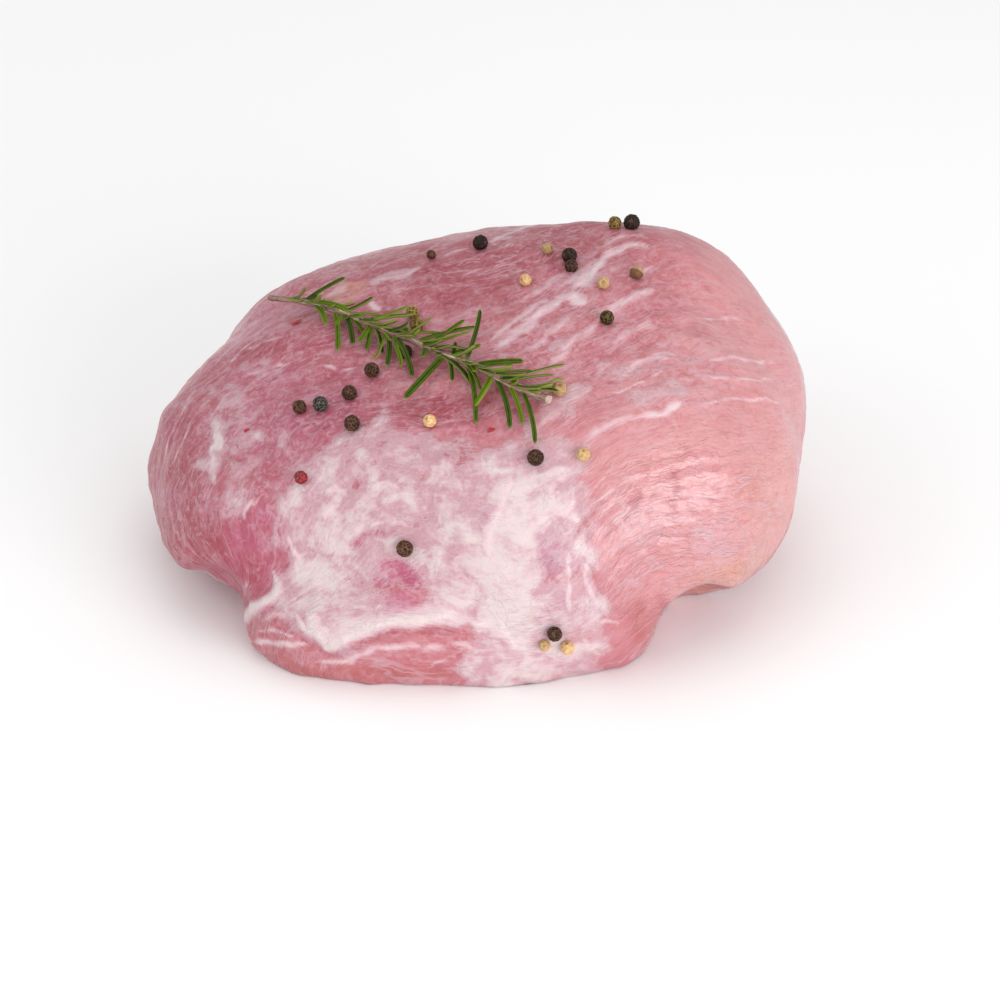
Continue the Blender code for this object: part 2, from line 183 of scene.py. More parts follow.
# Smaller tones on the sides that show.
SMALL_TONES = [
    ("smooth top face", "deep", (464, 278), (62, 34), 10, 0.9),
    ("crown right", "rose", (610, 320), (70, 50), 30, 0.5),
    ("dark below the sprig", "bare", (452, 410), (62, 18), 0, 0.95),
    ("rose hollow", "bare", (450, 455), (34, 13), 0, 0.45),
    ("rose streak", "rose", (563, 463), (26, 8), 22, 0.7),
    ("left of the right lobe", "rose", (597, 405), (36, 26), 25, 0.6),
    ("rose under the shoulder", "bare", (262, 346), (50, 11), 22, 0.6),
    ("red by the peppercorns", "bare", (336, 377), (26, 9), 5, 0.6),
    ("magenta hollow", "raspberry", (308, 410), (62, 20), 6, 0.45),
    ("magenta slope", "raspberry", (283, 445), (50, 22), 25, 0.35),
    ("bare muscle", "raspberry", (240, 560), (40, 48), -35, 0.85),
    ("bare muscle heart", "bare", (246, 578), (20, 30), -15, 0.65),
    ("raspberry spot", "raspberry", (262, 515), (18, 11), 20, 0.9),
    ("left foot", "bare", (200, 560), (34, 26), -40, 0.5),
    ("red slope on the left", "bare", (200, 536), (34, 26), -35, 0.8),
    ("purple hollow", "orchid", (386, 572), (24, 11), 10, 0.9),
    ("purple hollow right", "orchid", (411, 570), (13, 24), 0, 0.9),
    ("purple hollow low", "orchid", (398, 604), (20, 14), 0, 0.9),
    ("purple arc", "orchid", (376, 537), (28, 11), 5, 0.8),
    ("mauve hollow", "lilac", (488, 513), (28, 12), 8, 0.8),
    ("lilac hollow", "lilac", (553, 550), (27, 30), 0, 0.9),
    ("lilac foot", "lilac", (560, 605), (20, 26), 0, 0.5),
    ("flap face", "rose", (350, 648), (130, 24), 2, 0.85),
    ("flap band", "rose", (425, 634), (58, 9), 1, 0.9),
    ("lip", "coral", (370, 673), (120, 9), 0, 0.75),
    ("lip left", "coral", (290, 660), (40, 12), -30, 0.5),
    ("right end of the lip", "coral", (646, 630), (18, 34), 20, 0.85),
    ("pink fat by the sprig", "peach", (343, 292), (26, 10), 15, 0.9),
    ("peach on the right rim", "peach", (770, 500), (40, 60), 0, 0.35),
    ("peach foot of the lobe", "peach", (752, 574), (70, 26), 10, 0.8),
    ("fold shade", "bare", (664, 622), (12, 26), 0, 0.9),
]
# How marbled the flesh looks: name, middle in the picture, half sizes, slope, strength.
MARBLING = [
    ("left half", (300, 430), (230, 260), 0, 0.62),
    ("front", (420, 560), (190, 110), 0, 0.55),
    ("crown", (560, 310), (130, 120), 20, 0.75),
    ("smooth top face", (470, 275), (62, 34), 10, 0.35),
    ("right lobe", (735, 430), (130, 240), 0, 0.16),
    ("right crown", (655, 345), (80, 110), 30, 0.55),
    ("bare muscle", (236, 562), (44, 50), -30, 0.22),
]
# Silver film, as outlines in the picture: name, strength, softness of its edge, corners.
FILM_AREAS = [
    ("front film", 0.80, 12, [
        (276, 600), (286, 566), (276, 540), (268, 516), (286, 492), (306, 472), (324, 456), (346, 432),
        (384, 414), (420, 430), (470, 444), (505, 448), (532, 430), (560, 436), (592, 450), (586, 482),
        (584, 513), (588, 545), (597, 580), (612, 612), (604, 664), (540, 694), (468, 694), (462, 654),
        (478, 640), (468, 625), (420, 621), (372, 630), (332, 644), (306, 630), (292, 612),
    ]),
    ("bright heart", 0.45, 14, [
        (478, 520), (500, 500), (508, 474), (520, 476), (524, 510), (540, 528), (532, 560), (536, 590),
        (528, 616), (500, 622), (470, 610), (452, 590), (470, 560),
    ]),
    ("front foot", 0.30, 12, [
        (480, 624), (512, 612), (560, 625), (600, 650), (560, 686), (500, 690), (468, 686), (466, 655),
    ]),
    ("flap sheet", 0.25, 7, [
        (284, 560), (300, 520), (340, 504), (366, 520), (352, 560), (362, 596), (350, 626), (322, 640),
        (296, 622), (270, 612),
    ]),
    ("flap corner", 0.20, 8, [(246, 612), (276, 590), (300, 610), (330, 642), (300, 642), (262, 634), (248, 628)]),
]
# Film on smaller patches: name, middle, half sizes, slope, strength. Less than 0 tears a window.
FILM_PATCHES = [
    ("left white patch", (219, 432), (13, 44), 14, 0.45),
    ("cream blob", (218, 441), (9, 10), 20, 0.9),
    ("cream blob low", (210, 464), (7, 13), 14, 0.9),
    ("pale blob", (269, 438), (22, 9), -6, 0.4),
    ("left slope", (262, 476), (56, 22), 35, 0.16),
    ("left foot", (232, 506), (36, 13), 25, 0.30),
    ("left haze", (270, 400), (130, 100), 20, 0.07),
    ("shoulder edge", (238, 322), (66, 12), 42, 0.38),
    ("shoulder", (285, 318), (60, 16), 25, 0.15),
    ("upper pale", (420, 378), (60, 18), 0, 0.06),
    ("pale band", (560, 466), (56, 20), 22, 0.25),
    ("pale bars", (470, 478), (50, 16), 5, 0.25),
    ("crown pale", (552, 349), (18, 6), 22, 0.7),
    ("crown haze", (562, 298), (86, 26), 38, 0.22),
    ("crown node", (578, 295), (14, 8), 20, 0.5),
    ("ridge pale", (630, 366), (34, 9), 14, 0.45),
    ("mid streak pale", (650, 394), (46, 9), 20, 0.36),
    ("sprig foot pale", (560, 408), (48, 14), 34, 0.38),
    ("top pale", (395, 276), (36, 6), 14, 0.4),
    ("top back pale", (510, 236), (30, 5), 18, 0.4),
    ("right haze", (720, 380), (80, 60), 0, 0.10),
    ("wet haze", (660, 545), (80, 70), 0, 0.20),
    ("lobe foot haze", (730, 545), (50, 30), 0, 0.08),
    ("cream", (314, 578), (22, 20), 0, 0.25),
    ("curl by the flap", (334, 514), (12, 11), 0, 0.3),
    ("window under the pepper", (402, 588), (26, 36), 12, -0.55),
    ("window by the pepper", (376, 538), (22, 9), 8, -0.45),
    ("window in the middle", (490, 514), (24, 9), 8, -0.5),
    ("window right", (553, 552), (22, 30), 0, -0.35),
    ("window left", (262, 515), (20, 12), 20, -0.5),
    ("window above", (448, 455), (26, 10), 0, -0.25),
    ("window above right", (560, 463), (24, 6), 22, -0.4),
    ("window far left", (243, 566), (26, 38), -20, -0.6),
    ("flap band", (425, 634), (56, 8), 1, -0.5),
    ("window in the lip", (442, 666), (16, 10), -20, -0.4),
    ("lip haze", (330, 655), (60, 10), 0, 0.22),
    ("left lilac haze", (232, 424), (32, 44), 15, 0.24),
    ("shoulder lilac", (258, 372), (40, 10), 8, 0.22),
]
# Wet, wrinkled skin: name, middle, half sizes, slope, strength.
WET_PATCHES = [
    ("wet lobe", (678, 510), (110, 92), 20, 1.0),
    ("wet foot", (640, 588), (56, 50), 30, 0.9),
    ("wet low", (705, 562), (80, 46), 8, 0.9),
    ("wet right", (745, 470), (60, 80), 0, 0.6),
    ("wet flap", (540, 610), (90, 60), 0, 0.45),
    ("wet front", (360, 600), (110, 70), 0, 0.3),
    ("wet left", (200, 470), (50, 90), 0, 0.3),
]
# White lines of fat and sinew: name, half width in mm, strength, points in the picture.
FAT_LINES = [
    ("crown line", 2.3, 0.66, [(566, 299), (575, 289), (588, 276), (602, 261), (614, 251), (628, 246), (642, 246), (655, 251)]),
    ("crown line low", 2.4, 0.64, [(580, 292), (566, 298), (551, 306), (536, 317), (523, 327), (508, 340), (494, 352)]),
    ("crown node", 2.6, 0.72, [(568, 296), (578, 300), (590, 304)]),
    ("crown second", 1.9, 0.52, [(490, 345), (502, 332), (518, 318), (536, 306), (552, 297)]),
    ("crown right", 2.1, 0.62, [(596, 326), (606, 314), (616, 306), (628, 299), (642, 294), (655, 285)]),
    ("crown lower", 2.1, 0.52, [(548, 368), (560, 355), (574, 342), (590, 330), (600, 322)]),
    ("crown faint", 1.6, 0.46, [(556, 290), (570, 280), (584, 268), (596, 256)]),
    ("crown faint two", 1.6, 0.46, [(520, 303), (536, 292), (550, 282), (562, 272)]),
    ("crown faint three", 1.7, 0.46, [(610, 345), (624, 334), (640, 326), (656, 320)]),
    ("top back", 1.6, 0.6, [(486, 244), (500, 237), (515, 231), (530, 226), (545, 221)]),
    ("top back left", 1.4, 0.52, [(438, 257), (454, 251), (472, 248)]),
    ("top left", 1.6, 0.52, [(366, 281), (381, 281), (396, 277), (411, 272), (424, 268)]),
    ("left of the sprig", 2.0, 0.5, [(324, 298), (335, 292), (349, 288)]),
    ("white bit", 1.5, 0.85, [(370, 303), (376, 307), (384, 309)]),
    ("pale loop", 1.5, 0.52, [(606, 369), (610, 380), (618, 380), (626, 371), (640, 364), (656, 358), (674, 359)]),
    ("ridge", 0.8, 0.6, [(609, 393), (630, 387), (648, 380), (666, 370)]),
    ("bright streak", 1.5, 0.84, [(636, 417), (650, 413), (661, 411), (674, 405), (685, 403)]),
    ("long rising", 1.7, 0.5, [(580, 444), (596, 433), (614, 424), (630, 418), (640, 414)]),
    ("sprig foot", 2.8, 0.5, [(590, 383), (572, 398), (554, 410), (540, 428)]),
    ("middle back", 0.8, 0.5, [(651, 355), (664, 354), (678, 355)]),
    ("lobe line one", 0.8, 0.5, [(698, 321), (720, 319), (743, 320)]),
    ("lobe line two", 0.8, 0.6, [(703, 361), (732, 358), (761, 362), (782, 361)]),
    ("lobe line three", 0.8, 0.55, [(670, 380), (700, 377), (735, 378), (785, 381)]),
    ("lobe line four", 0.8, 0.55, [(686, 404), (713, 401), (745, 399), (786, 403)]),
    ("left white one", 1.0, 0.4, [(232, 389), (222, 400), (212, 413), (205, 426)]),
    ("left white two", 1.2, 0.8, [(221, 438), (212, 447), (215, 460), (209, 476)]),
    ("left streak", 0.8, 0.7, [(325, 367), (345, 370), (358, 364)]),
    ("shoulder streak one", 0.8, 0.5, [(233, 377), (253, 372), (277, 365), (297, 361)]),
    ("shoulder streak two", 0.8, 0.5, [(226, 371), (238, 355), (253, 342), (271, 333)]),
    ("shoulder streak three", 0.8, 0.45, [(244, 349), (264, 342), (284, 336)]),
    ("left hook", 0.8, 0.6, [(224, 468), (234, 458), (247, 453)]),
    ("curl", 0.8, 0.75, [(246, 525), (246, 513), (253, 501), (266, 495)]),
    ("curl inside", 0.8, 0.7, [(289, 534), (292, 548), (304, 563)]),
    ("hollow rim", 0.8, 0.7, [(354, 545), (361, 530), (375, 523), (392, 521), (408, 526)]),
    ("hook", 0.8, 0.7, [(326, 522), (328, 512), (340, 506)]),
    ("swirl one", 0.8, 0.6, [(366, 488), (385, 482), (400, 490)]),
    ("swirl two", 0.8, 0.55, [(315, 487), (331, 491), (350, 488)]),
    ("heart ridge", 1.72, 0.8, [(510, 474), (506, 494), (496, 514), (488, 540), (494, 566)]),
    ("heart branch", 0.92, 0.7, [(521, 513), (540, 497), (559, 481), (575, 472)]),
    ("heart branch low", 0.92, 0.6, [(523, 531), (545, 519), (567, 511), (581, 505)]),
    ("standing ridge", 0.8, 0.95, [(570, 544), (568, 566), (570, 586), (568, 616)]),
    ("right border one", 0.8, 0.6, [(585, 566), (588, 583), (597, 600), (611, 617)]),
    ("right border two", 0.8, 0.6, [(594, 612), (598, 622), (610, 620), (620, 624)]),
    ("right border low", 0.8, 0.5, [(582, 634), (593, 650), (607, 658)]),
    ("second flap line", 1.1, 0.78, [(248, 638), (270, 643), (290, 645), (307, 646)]),
    ("lip line", 1.5, 0.72, [(311, 662), (330, 662), (348, 660), (363, 652), (380, 647), (400, 648), (424, 648)]),
    ("lip line right", 1.3, 0.6, [(420, 648), (440, 647), (460, 645), (480, 648)]),
    ("flap strand one", 0.9, 0.6, [(262, 622), (276, 617), (290, 618)]),
    ("flap strand two", 0.8, 0.55, [(256, 632), (270, 630), (286, 634), (296, 640)]),
    ("window rim", 0.8, 0.5, [(430, 676), (436, 662), (452, 658), (458, 668)]),
    ("lip line low", 0.8, 0.4, [(460, 652), (480, 650), (505, 655)]),
    ("left edge one", 0.8, 0.5, [(161, 468), (170, 436), (185, 407), (202, 381)]),
    ("left edge two", 0.8, 0.45, [(170, 478), (180, 446), (196, 415)]),
    ("left foot line", 0.8, 0.5, [(236, 602), (250, 580), (266, 560)]),
    ("seam veil", 3.2, 0.85, [(303, 628), (324, 642), (341, 638), (363, 629), (381, 622), (407, 618), (430, 616), (459, 618), (486, 625)]),
    ("crown fan one", 1.7, 0.44, [(600, 250), (616, 240), (634, 236), (650, 240)]),
    ("crown fan two", 1.6, 0.42, [(628, 282), (640, 274), (654, 270), (668, 272)]),
    ("crown fan three", 1.8, 0.42, [(530, 350), (546, 336), (562, 322), (580, 312)]),
]
# Raised seams of fat along the cut edge of the front flap.
SEAMS = [
    ("zigzag", 2.2, 1.0, [
        (294, 614), (303, 626), (311, 632), (313, 623), (317, 634), (324, 645), (341, 640), (363, 631),
        (381, 623), (407, 620), (430, 618), (459, 620),
    ]),
    ("flap corner", 2.0, 0.95, [(276, 572), (274, 592), (259, 607), (246, 616), (246, 632), (256, 640)]),
    ("seam foot", 1.4, 0.7, [(459, 620), (489, 627), (507, 636), (515, 651)]),
]
# Creases, wrinkles and grooves, darkened with painted shade: name, half width in mm, depth in mm, points in the
# picture.
GROOVES = [
    ("dark vein", 0.8, 0.35, [(444, 549), (461, 567), (479, 590), (495, 604), (509, 627), (517, 648)]),
    ("lobe groove", 1.4, 0.45, [(672, 456), (674, 480), (673, 504), (675, 528)]),
    ("lobe fold", 0.8, 0.6, [(655, 533), (675, 537), (693, 537), (712, 532)]),
    ("top crease", 0.6, 0.5, [(424, 269), (425, 279), (427, 290)]),
    ("top crease low", 0.6, 0.45, [(436, 294), (442, 305), (450, 318)]),
    ("back crease", 0.6, 0.45, [(478, 257), (486, 265), (495, 272)]),
    ("flap fold", 1.6, 0.9, [(296, 634), (308, 648), (328, 652), (350, 647), (375, 637), (405, 629), (440, 628), (468, 630)]),
    ("curl shade", 0.6, 0.3, [(360, 548), (367, 535), (380, 529), (396, 528)]),
    ("lobe border", 1.2, 0.3, [(581, 486), (580, 513), (586, 545), (593, 577), (606, 597)]),
]
# Hollows pressed in near the foot: name, depth in mm, middle, half sizes, slope.
DENTS = [
    ("under the left end", 3.0, (216, 592), (34, 24), -42),
    ("low on the left end", -1.6, (170, 556), (26, 24), -40),
    ("side of the left end", 2.2, (140, 462), (24, 74), 0),
    ("corner of the flap", -1.6, (250, 650), (16, 24), 0),
]
# Points lower than this belong to the flat underside.
BASE_HEIGHT = 0.02
FAT_RELIEF = 0.18
FILM_RELIEF = 0.12
SEAM_RELIEF = 0.85
BUNDLE_WIDTH = 4.6
BUNDLE_RELIEF = 0.11

# Kind, a point close to the surface, and diameter of each peppercorn on the meat.
PEPPERCORNS = [
    ("black", (2.0, 32.0, 95.0), 5.2),
    ("black", (30.5, 18.0, 99.0), 5.2),
    ("brown", (31.0, 12.0, 98.0), 4.6),
    ("black", (51.5, 38.0, 100.0), 5.6),
    ("olive", (41.5, -14.0, 92.0), 4.8),
    ("brown", (-32.5, -19.0, 76.0), 5.0),
    ("black", (-22.0, -14.5, 80.0), 4.8),
    ("brown", (-39.5, -27.5, 73.0), 5.0),
    ("grey", (-48.5, -30.0, 70.0), 5.2),
    ("brown", (-55.5, -28.0, 68.5), 4.6),
    ("brown", (-38.0, -42.5, 70.0), 5.2),
    ("brown", (18.5, -64.5, 71.0), 5.3),
    ("brown", (-21.5, -75.0, 45.0), 5.4),
    ("brown", (24.5, -87.0, 21.0), 4.8),
    ("brown", (-14.5, 33.0, 91.5), 3.2),
    ("white", (23.5, 24.0, 98.5), 4.0),
    ("white", (16.0, 8.0, 96.0), 4.0),
    ("white", (41.0, 2.5, 96.5), 4.2),
    ("half", (52.0, 9.0, 97.5), 4.6),
    ("husk", (46.0, 38.0, 100.0), 4.6),
    ("husk", (-20.5, 4.5, 86.0), 4.4),
    ("husk", (-19.0, -1.0, 84.5), 4.6),
    ("white", (-14.0, -47.0, 74.0), 4.2),
    ("white", (33.0, -65.0, 72.5), 4.4),
    ("white", (26.0, -45.5, 84.5), 4.8),
    ("white", (28.5, -86.0, 15.5), 4.4),
    ("white", (21.5, -87.5, 17.0), 3.6),
    ("red", (-54.0, -53.5, 57.5), 4.4),
]
# How far a peppercorn's middle stands off the meat, as a share of its radius.
PEPPERCORN_STAND = 0.72
# Degrees that a peppercorn's eye is tipped towards the front, and turned about the upright.
EYE_TIPS = (10.0, 80.0)
EYE_TURNS = (-70.0, 70.0)
HALF_BROWN = (118.0, -25.0)
# Flakes of red husk: name, place in the picture, length and width in mm.
RED_FLAKES = [
    ("flake by the sprig", (297, 323), 3.6, 1.7),
    ("flake on the left", (247, 431), 2.0, 1.2),
    ("flake in the middle", (491, 430), 2.2, 1.4),
]

# Plan position of the sprig's stem, and its height over the meat, from its bare end.
STEM_ROUTE = [
    (-68.0, 32.0, 7.0),
    (-56.0, 22.0, 3.6),
    (-41.0, 7.0, 3.2),
    (-21.0, -12.5, 3.8),
    (-1.0, -33.0, 4.0),
    (11.0, -43.5, 4.0),
    (23.0, -51.0, 3.8),
]
STEM_RADIUS_START = 0.95
STEM_RADIUS_END = 1.28
STEM_STEPS_PER_SPAN = 4

# Each needle of the sprig: distance along the stem of its foot, plan heading in degrees
# from the X axis, plan reach, height of its tip over the meat, and width.
NEEDLES = [
    (9.5, -30.0, 4.0, 5.0, 2.0),
    (15.5, 14.0, 14.5, 5.0, 1.7),
    (21.0, -71.0, 13.5, 2.0, 2.0),
    (16.0, -43.0, 22.0, 4.0, 1.6),
    (37.0, -22.0, 13.0, 4.0, 1.7),
    (45.0, -9.0, 17.0, 5.0, 2.5),
    (31.0, -85.0, 18.0, 1.5, 2.1),
    (36.0, -78.0, 14.5, 2.0, 2.0),
    (36.0, -123.0, 5.5, 3.0, 1.5),
    (38.0, -59.0, 9.0, 2.0, 1.6),
    (48.0, -117.0, 8.0, 3.5, 2.0),
    (48.0, -98.0, 9.0, 1.5, 2.0),
    (50.0, -77.0, 11.0, 1.5, 1.8),
    (50.0, -35.0, 13.0, 5.0, 1.9),
    (55.0, -108.0, 14.5, 3.0, 1.4),
    (56.0, -91.0, 13.0, 1.5, 1.9),
    (57.0, -22.0, 19.0, 4.0, 1.9),
    (58.0, -79.0, 16.0, 3.0, 1.6),
    (59.0, -73.0, 20.5, 1.5, 2.0),
    (63.0, 21.0, 9.5, 7.0, 1.6),
    (68.0, -3.0, 20.0, 4.0, 2.0),
    (73.0, 19.0, 13.5, 7.0, 1.6),
    (73.0, 4.0, 14.5, 4.0, 1.9),
    (73.0, -95.0, 6.5, 5.0, 2.0),
    (74.0, -35.0, 15.5, 5.0, 1.9),
    (77.0, -55.0, 22.0, 1.5, 2.1),
    (82.0, -135.0, 18.0, 2.5, 2.4),
    (83.0, -80.0, 10.0, 2.0, 1.7),
    (85.0, 65.0, 3.5, 6.0, 1.5),
    (91.0, -68.0, 13.5, 4.0, 1.5),
    (91.5, 68.0, 12.5, 13.0, 1.8),
    (92.0, -82.0, 20.5, 1.5, 1.8),
    (94.0, -76.0, 5.5, 6.0, 2.0),
    (95.0, -8.0, 16.0, 4.0, 2.1),
    (96.5, -2.0, 11.5, 3.0, 1.7),
    (102.0, -3.0, 13.5, 3.0, 1.7),
    (103.0, -126.0, 10.0, 3.0, 2.4),
    (104.0, -74.0, 17.0, 2.0, 1.9),
    (108.0, 5.0, 19.0, 6.0, 1.9),
    (108.5, 5.0, 15.0, 3.0, 1.6),
    (109.0, -69.0, 13.0, 1.5, 1.7),
    (114.0, -76.0, 18.0, 2.5, 1.7),
    (114.0, 0.0, 13.0, 3.5, 1.6),
    (114.5, -19.0, 12.0, 5.0, 1.8),
]
NEEDLE_THICKNESS = 1.0
# Young leaves sit close together on this stretch of the stem.
BUDS_START = 9.0
BUDS_END = 117.0
BUD_RINGS = 4
NEEDLE_RINGS = 7
NEEDLE_BOW = 0.12
# Gap kept between the sprig and what lies under it.
SPRIG_GAP = 0.45
# A point is moved on to the skin, or off it, in at most this many steps.
SETTLING_STEPS = 12
# Step over which the slope of the skin is measured.
SLOPE_STEP = 0.4
HIGH_OVER_MEAT = 130.0
CLOSE_TO_SKIN = 0.01
# Least gap over the bumps of a peppercorn, which isn't a true ball.
PEPPERCORN_GAP = 0.5


# Form of the meat


def turning(turn_z, turn_y, turn_x):
    """Matrix of the three turns, in degrees."""
    a, b, c = (math.radians(angle) for angle in (turn_z, turn_y, turn_x))
    about_z = np.array([[math.cos(a), -math.sin(a), 0], [math.sin(a), math.cos(a), 0], [0, 0, 1]])
    about_y = np.array([[math.cos(b), 0, math.sin(b)], [0, 1, 0], [-math.sin(b), 0, math.cos(b)]])
    about_x = np.array([[1, 0, 0], [0, math.cos(c), -math.sin(c)], [0, math.sin(c), math.cos(c)]])
    return about_z @ about_y @ about_x


def off_ellipsoid(points, centre, half, turns, fullness):
    """Rough distance of each point from a rounded box or ellipsoid, less than 0 inside."""
    local = (points - np.array(centre)) @ turning(*turns)
    share = np.abs(local / np.array(half))
    size = np.maximum((share**fullness).sum(axis=1) ** (1.0 / fullness), 1e-9)
    slope = np.linalg.norm((share / size[:, None]) ** (fullness - 1.0) / np.array(half), axis=1)
    return (size - 1.0) / np.maximum(slope, 1e-9)


def lump_waves():
    """Directions, lengths and starts of the waves that make the surface uneven."""
    draw = random.Random(SEED)
    waves = []
    for _ in range(LUMP_WAVES):
        across = Vector((draw.uniform(-1, 1), draw.uniform(-1, 1), draw.uniform(-1, 1))).normalized()
        length = draw.uniform(LUMP_LENGTH_MIN, LUMP_LENGTH_MAX)
        waves.append((np.array(across) * 2.0 * math.pi / length, draw.uniform(0, 2.0 * math.pi)))
    return waves


WAVES = lump_waves()


def skin(points):
    """Distance of each point from the surface of the meat, less than 0 inside."""
    total = np.zeros(len(points))
    for _, centre, half, turns, fullness in MUSCLES:
        gap = off_ellipsoid(points, centre, half, turns, fullness)
        total += np.exp(-np.clip(gap, -300.0, 300.0) / MUSCLE_BLEND)
    joined = -MUSCLE_BLEND * np.log(total)
    fold = -off_ellipsoid(points, FOLD_CENTRE, FOLD_HALF, (0.0, 0.0, 0.0), FOLD_FULLNESS)
    larger = np.maximum(joined, fold)
    smaller = np.minimum(joined, fold)
    cut = larger + FOLD_BLEND * np.log1p(np.exp(np.maximum(smaller - larger, -200.0) / FOLD_BLEND))
    lumps = sum(np.sin(points @ wave + start) for wave, start in WAVES)
    return cut - LUMP_HEIGHT * lumps


def slopes(points, solid):
    """Outward direction of a surface near each of many points."""
    found = np.zeros_like(points)
    for axis in range(3):
        step = np.zeros(3)
        step[axis] = SLOPE_STEP
        found[:, axis] = solid(points + step) - solid(points - step)
    return found / np.linalg.norm(found, axis=1, keepdims=True)


def skin_normal(point, solid=None):
    """Outward direction of the surface near a point."""
    return slopes(np.array(point, dtype=float)[None], solid or skin)[0]


def onto_skin(point):
    """The point on the meat that is nearest to a given point."""
    place = np.array(point, dtype=float)
    for _ in range(SETTLING_STEPS):
        place = place - skin_normal(place) * skin(place[None])[0]
    return place


def top_of_meat(x, y):
    """Height of the meat's upper surface at a plan position."""
    height = HIGH_OVER_MEAT
    gap = skin(np.array([[x, y, height]]))[0]
    while gap > CLOSE_TO_SKIN:
        height -= 0.8 * gap
        gap = skin(np.array([[x, y, height]]))[0]
    return height


def reach_along(ways):
    """The point where each way out from the core leaves the meat."""
    core = np.array(CORE)
    near = np.full(len(ways), NEAREST)
    far = np.full(len(ways), FARTHEST)
    for _ in range(HALVINGS):
        middle = (near + far) / 2.0
        inside = skin(core + ways * middle[:, None]) < 0.0
        near = np.where(inside, middle, near)
        far = np.where(inside, far, middle)
    gap_near = skin(core + ways * near[:, None])
    gap_far = skin(core + ways * far[:, None])
    for _ in range(SECANTS):
        share = np.clip(gap_near / np.where(gap_near == gap_far, 1.0, gap_near - gap_far), 0.0, 1.0)
        middle = near + share * (far - near)
        gap = skin(core + ways * middle[:, None])
        inside = gap < 0.0
        near = np.where(inside, middle, near)
        gap_near = np.where(inside, gap, gap_near)
        far = np.where(inside, far, middle)
        gap_far = np.where(inside, gap_far, gap)
    return core + ways * np.where(-gap_near < gap_far, near, far)[:, None]


# Places named in the picture


def camera_axes():
    """Place of the camera and its ahead, right and up directions."""
    tilt = math.radians(CAMERA_TILT)
    ahead = np.array([0.0, math.cos(tilt), -math.sin(tilt)])
    right = np.array([1.0, 0.0, 0.0])
    up = np.array([0.0, math.sin(tilt), math.cos(tilt)])
    return np.array(CAMERA_AIM) - CAMERA_AWAY * ahead, ahead, right, up


def in_picture(points):
    """Where points on the meat fall in the picture."""
    eye, ahead, right, up = camera_axes()
    away = points - eye
    depth = away @ ahead
    across = AIM_PIXEL[0] + LENS_PIXELS * (away @ right) / depth
    down = AIM_PIXEL[1] - LENS_PIXELS * (away @ up) / depth
    return np.stack([across, down], axis=1)


def sight_lines(pixels):
    """Direction from the camera through each place in the picture."""
    _, ahead, right, up = camera_axes()
    across = (pixels[:, :1] - AIM_PIXEL[0]) / LENS_PIXELS
    down = (pixels[:, 1:] - AIM_PIXEL[1]) / LENS_PIXELS
    ways = ahead + across * right - down * up
    return ways / np.linalg.norm(ways, axis=1, keepdims=True)


def onto_meat(pixels):
    """The points of the meat that show at places in the picture."""
    eye = camera_axes()[0]
    ways = sight_lines(pixels)
    far = np.full(len(ways), CAMERA_AWAY - 180.0)
    nearest = np.full(len(ways), np.inf)
    found = far.copy()
    for _ in range(70):
        gap = skin(eye + ways * far[:, None])
        closer = gap < nearest
        nearest = np.where(closer, gap, nearest)
        found = np.where(closer, far, found)
        far = far + np.where(gap < 0.02, 0.0, 0.75 * np.minimum(gap, 60.0))
    return eye + ways * found[:, None]


def flat_on(vectors, normals):
    """The part of each vector that lies in the surface, at length 1."""
    flat = vectors - (vectors * normals).sum(axis=1, keepdims=True) * normals
    return flat / np.linalg.norm(flat, axis=1, keepdims=True)


def fibre_rule():
    """A height over the meat whose level lines run along the fibres, about 1 for each mm across."""
    pixels = np.array([place for _, place, _ in FIBRES], dtype=float)
    slope = np.radians([angle for _, _, angle in FIBRES])
    seen = onto_meat(pixels)
    normals = slopes(seen, skin)
    eye = camera_axes()[0]
    ahead = sight_lines(pixels + np.stack([np.cos(slope), -np.sin(slope)], axis=1))
    far = ((seen - eye) * normals).sum(axis=1) / (ahead * normals).sum(axis=1)
    seen_along = flat_on(eye + ahead * far[:, None] - seen, normals)
    ways = np.array([way for _, way, _ in HIDDEN_FIBRES])
    hidden = reach_along(ways / np.linalg.norm(ways, axis=1, keepdims=True))
    hidden_normals = slopes(hidden, skin)
    hidden_along = flat_on(np.array([along for _, _, along in HIDDEN_FIBRES]), hidden_normals)
    places = np.concatenate([seen, hidden])
    along = np.concatenate([seen_along, hidden_along])
    across = np.cross(np.concatenate([normals, hidden_normals]), along)

    def rise(way):
        apart = places[:, None, :] - places[None]
        near = np.exp(-(apart**2).sum(axis=2) / (2.0 * FIBRE_REACH**2))
        return np.concatenate([-(apart * way[:, None, :]).sum(axis=2) / FIBRE_REACH * near, way], axis=1)

    rows = np.concatenate([rise(along), rise(across), FIBRE_EASE * np.eye(len(places) + 3)])
    wanted = np.concatenate([np.zeros(len(places)), np.ones(len(places)), np.zeros(len(places) + 3)])
    shares = np.linalg.lstsq(rows, wanted, rcond=None)[0]

    def height(points):
        total = points @ shares[-3:]
        for place, share in zip(places, shares):
            apart = ((points - place) ** 2).sum(axis=1)
            total = total + share * FIBRE_REACH * np.exp(-apart / (2.0 * FIBRE_REACH**2))
        return total

    return height


# Brushes that lay tones, film, fat and relief on the meat


def eased(values, low, high):
    """0 below low, 1 above high, and smooth between."""
    share = np.clip((values - low) / (high - low), 0.0, 1.0)
    return share * share * (3.0 - 2.0 * share)


